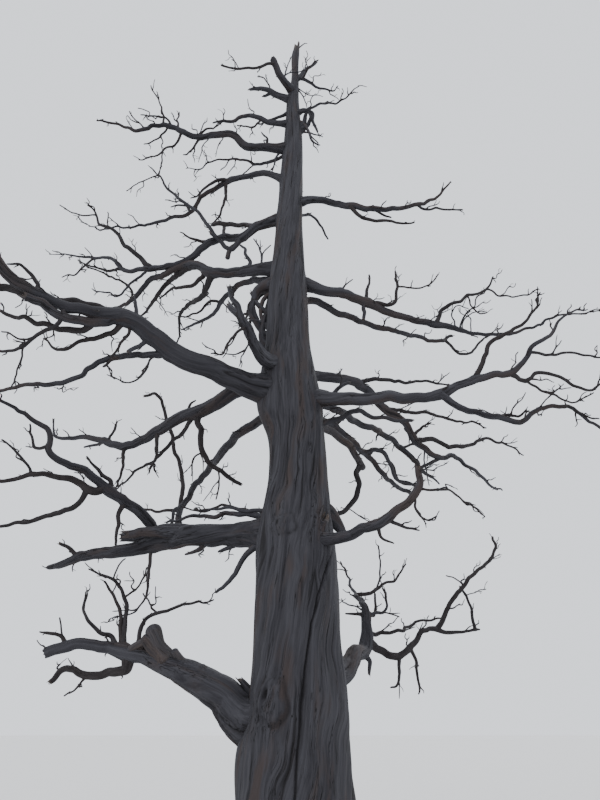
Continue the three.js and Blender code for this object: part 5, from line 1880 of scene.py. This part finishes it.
class WeatheredWood(Finish):
    """Bare wood after years of weather: grey streaks, brown heartwood, cracks with painted shade, torn
    ends, lit-pale painted burls.
    """

    PALE = (0.056, 0.055, 0.063)
    DARK = (0.019, 0.018, 0.022)
    BROWN = (0.048, 0.034, 0.030)
    # Painted shade for cracks, checks and sunken furrows.
    PAINTED_CRACK_SHADE = (0.008, 0.007, 0.008)
    # Colour of freshly torn wood, also painted over rounded burls as the light they catch.
    TORN = (0.120, 0.092, 0.072)
    SHADE = (0.015, 0.014, 0.017)

    def make(self) -> bpy.types.Material:
        """Makes the material.

        Returns:
            The material.
        """
        bench = Bench("weathered wood")
        place = bench.attribute("straight")
        crack_shade, torn_and_lit, tone = bench.attribute("wear").parts()
        fibre = place.stretched((105, 105, 3.4)).noise(3)
        streak = place.stretched((27, 27, 0.95), 3.7).noise(3)
        broad = place.stretched((7, 7, 0.5), 9.1).noise(2)
        rust = place.stretched((4.6, 4.6, 0.9), 21.3).noise(3)
        slit = place.stretched((31, 31, 0.8), 5.9).noise(2)
        where = place.stretched((9, 9, 0.8), 13.3).noise(1)
        check = (1.0 - abs(slit - 0.5).between(0.0, 0.035)) * where.between(0.48, 0.62)
        light = streak.between(0.36, 0.66) * 0.5 + fibre.between(0.32, 0.68) * 0.22
        light = light + broad.between(0.38, 0.62) * 0.28
        colour = bench.mix(self.DARK, self.PALE, light)
        colour = colour.tinted(self.BROWN, rust.between(0.50, 0.68) * 0.75)
        colour = colour.tinted(self.SHADE, (1.0 - tone) * 0.35)
        # Painted shade: cracks, checks and sunken furrows are darkened.
        colour = colour.tinted(self.PAINTED_CRACK_SHADE, (crack_shade * 0.85 + check * 0.9).between(0.05, 1.0))
        # Torn wood, and painted light that makes rounded burls paler.
        colour = colour.tinted(self.TORN, torn_and_lit * fibre.between(0.25, 0.7))
        relief = streak * 0.55 + fibre * 0.30 - check * 0.5
        bench.finish(colour, 0.78 + 0.14 * fibre, relief, depth=0.012, specular=0.25)
        return bench.material


class TwigWood(Finish):
    """The skin of dead twigs: matt grey-brown, a little paler and darker from twig to twig."""

    PALE = (0.040, 0.036, 0.038)
    DARK = (0.014, 0.013, 0.015)
    BROWN = (0.030, 0.022, 0.020)
    # Painted shade for the cracks and hollows of forks.
    FORK_CRACK_SHADE = (0.014, 0.012, 0.012)
    TORN = (0.130, 0.100, 0.075)

    def make(self) -> bpy.types.Material:
        """Makes the material.

        Returns:
            The material.
        """
        bench = Bench("twig wood")
        place = bench.attribute("straight")
        crack_shade, torn_and_lit, tone = bench.attribute("wear").parts()
        fibre = place.stretched((160, 160, 9)).noise(3)
        band = place.stretched((26, 26, 5), 4.3).noise(2)
        light = fibre.between(0.3, 0.7) * 0.5 + band.between(0.35, 0.65) * 0.5
        colour = bench.mix(self.DARK, self.PALE, light).tinted(self.BROWN, tone * 0.5)
        # Painted shade in the cracks of forks, then paler torn wood.
        colour = colour.tinted(self.FORK_CRACK_SHADE, crack_shade * 0.8).tinted(self.TORN, torn_and_lit * 0.7)
        bench.finish(colour, 0.80 + 0.12 * fibre, fibre * 0.6 + band * 0.4, depth=0.003, specular=0.2)
        return bench.material


class PaleFloor(Finish):
    """The plain floor of the studio."""

    DARK = (0.62, 0.62, 0.62)
    PALE = (0.66, 0.66, 0.66)

    def make(self) -> bpy.types.Material:
        """Makes the material.

        Returns:
            The material.
        """
        bench = Bench("pale floor")
        where = Signal(bench, bench.node("ShaderNodeTexCoord", {}, {}).outputs["Object"])
        grain = where.stretched((3, 3, 3)).noise(2)
        colour = bench.mix(self.DARK, self.PALE, grain)
        bench.finish(colour, 0.85 + 0.05 * grain, grain, depth=0.0005, specular=0.1)
        return bench.material


@dataclass(frozen=True)
class Studio:
    """A pale floor, soft light that comes mostly from behind and above, and the camera."""

    floor_half: float = 90.0
    camera_at: Triple = (0.08, -9.0, 1.6)
    pitch: float = 26.5
    lens: float = 29.1
    sky: Triple = (0.80, 0.83, 0.88)
    sky_strength: float = 1.6
    lamps: tuple[tuple[str, Triple, float], ...] = (
        ("sky_behind", (35.0, 60.0, 60.0), 2.0), ("front_fill", (-40.0, -50.0, 35.0), 0.8),
    )
    softness: float = 60.0

    def build(self, floor_finish: Finish) -> None:
        """Sets the studio up.

        Args:
            floor_finish: The floor's material.
        """
        half = self.floor_half
        corners = [(-half, -half, 0), (half, -half, 0), (half, half, 0), (-half, half, 0)]
        mesh = bpy.data.meshes.new("floor")
        mesh.from_pydata(corners, [], [(0, 1, 2, 3)])
        mesh.materials.append(floor_finish.material)
        floor = bpy.data.objects.new("floor", mesh)
        bpy.context.scene.collection.objects.link(floor)
        self._light_world()
        for name, place, strength in self.lamps:
            self._lamp(name, place, strength)
        self._camera()

    def _light_world(self) -> None:
        """Makes the pale surroundings."""
        world = bpy.data.worlds.new("studio")
        world.use_nodes = True
        ground = world.node_tree.nodes["Background"]
        ground.inputs["Color"].default_value = (*self.sky, 1.0)
        ground.inputs["Strength"].default_value = self.sky_strength
        bpy.context.scene.world = world

    def _lamp(self, name: str, place: Triple, strength: float) -> None:
        """Adds a soft lamp that shines at the tree from far away.

        Args:
            name: Its name.
            place: Where it shines from.
            strength: How bright it is.
        """
        lamp = bpy.data.lights.new(name, "SUN")
        lamp.energy, lamp.angle = strength, math.radians(self.softness)
        made = bpy.data.objects.new(name, lamp)
        made.location = place
        made.rotation_euler = Vector(place).to_track_quat("Z", "Y").to_euler()
        bpy.context.scene.collection.objects.link(made)

    def _camera(self) -> None:
        """Sets the camera at the photograph's viewing angle."""
        data = bpy.data.cameras.new("camera")
        data.lens, data.clip_end = self.lens, 500
        made = bpy.data.objects.new("camera", data)
        made.location = self.camera_at
        made.rotation_euler = (math.radians(90 + self.pitch), 0, 0)
        bpy.context.scene.collection.objects.link(made)
        bpy.context.scene.camera = made


def main() -> None:
    """Builds the tree and the studio and reports each piece."""
    logging.basicConfig(level=logging.INFO, format="%(name)s: %(message)s")
    Studio().build(PaleFloor())
    wood, twig_wood = WeatheredWood(), TwigWood()
    Trunk().build(wood)
    grown = Growth().grow()
    dresser = Dresser(wood, twig_wood)
    dresser.measure(grown)
    limbs, extras = grown[:len(LIMBS)], grown[len(LIMBS):]
    for each in limbs:
        kin = [other for other in extras if other.limb.on == each.limb.name]
        dresser.dress(each.limb.name, [each, *kin], grown, each.solids())
    dresser.dress("trunk_snags", [other for other in extras if not other.limb.on], grown, ())
    LOG.info("%d faces in all", sum(len(mesh.polygons) for mesh in bpy.data.meshes))


if __name__ == "__main__":
    main()
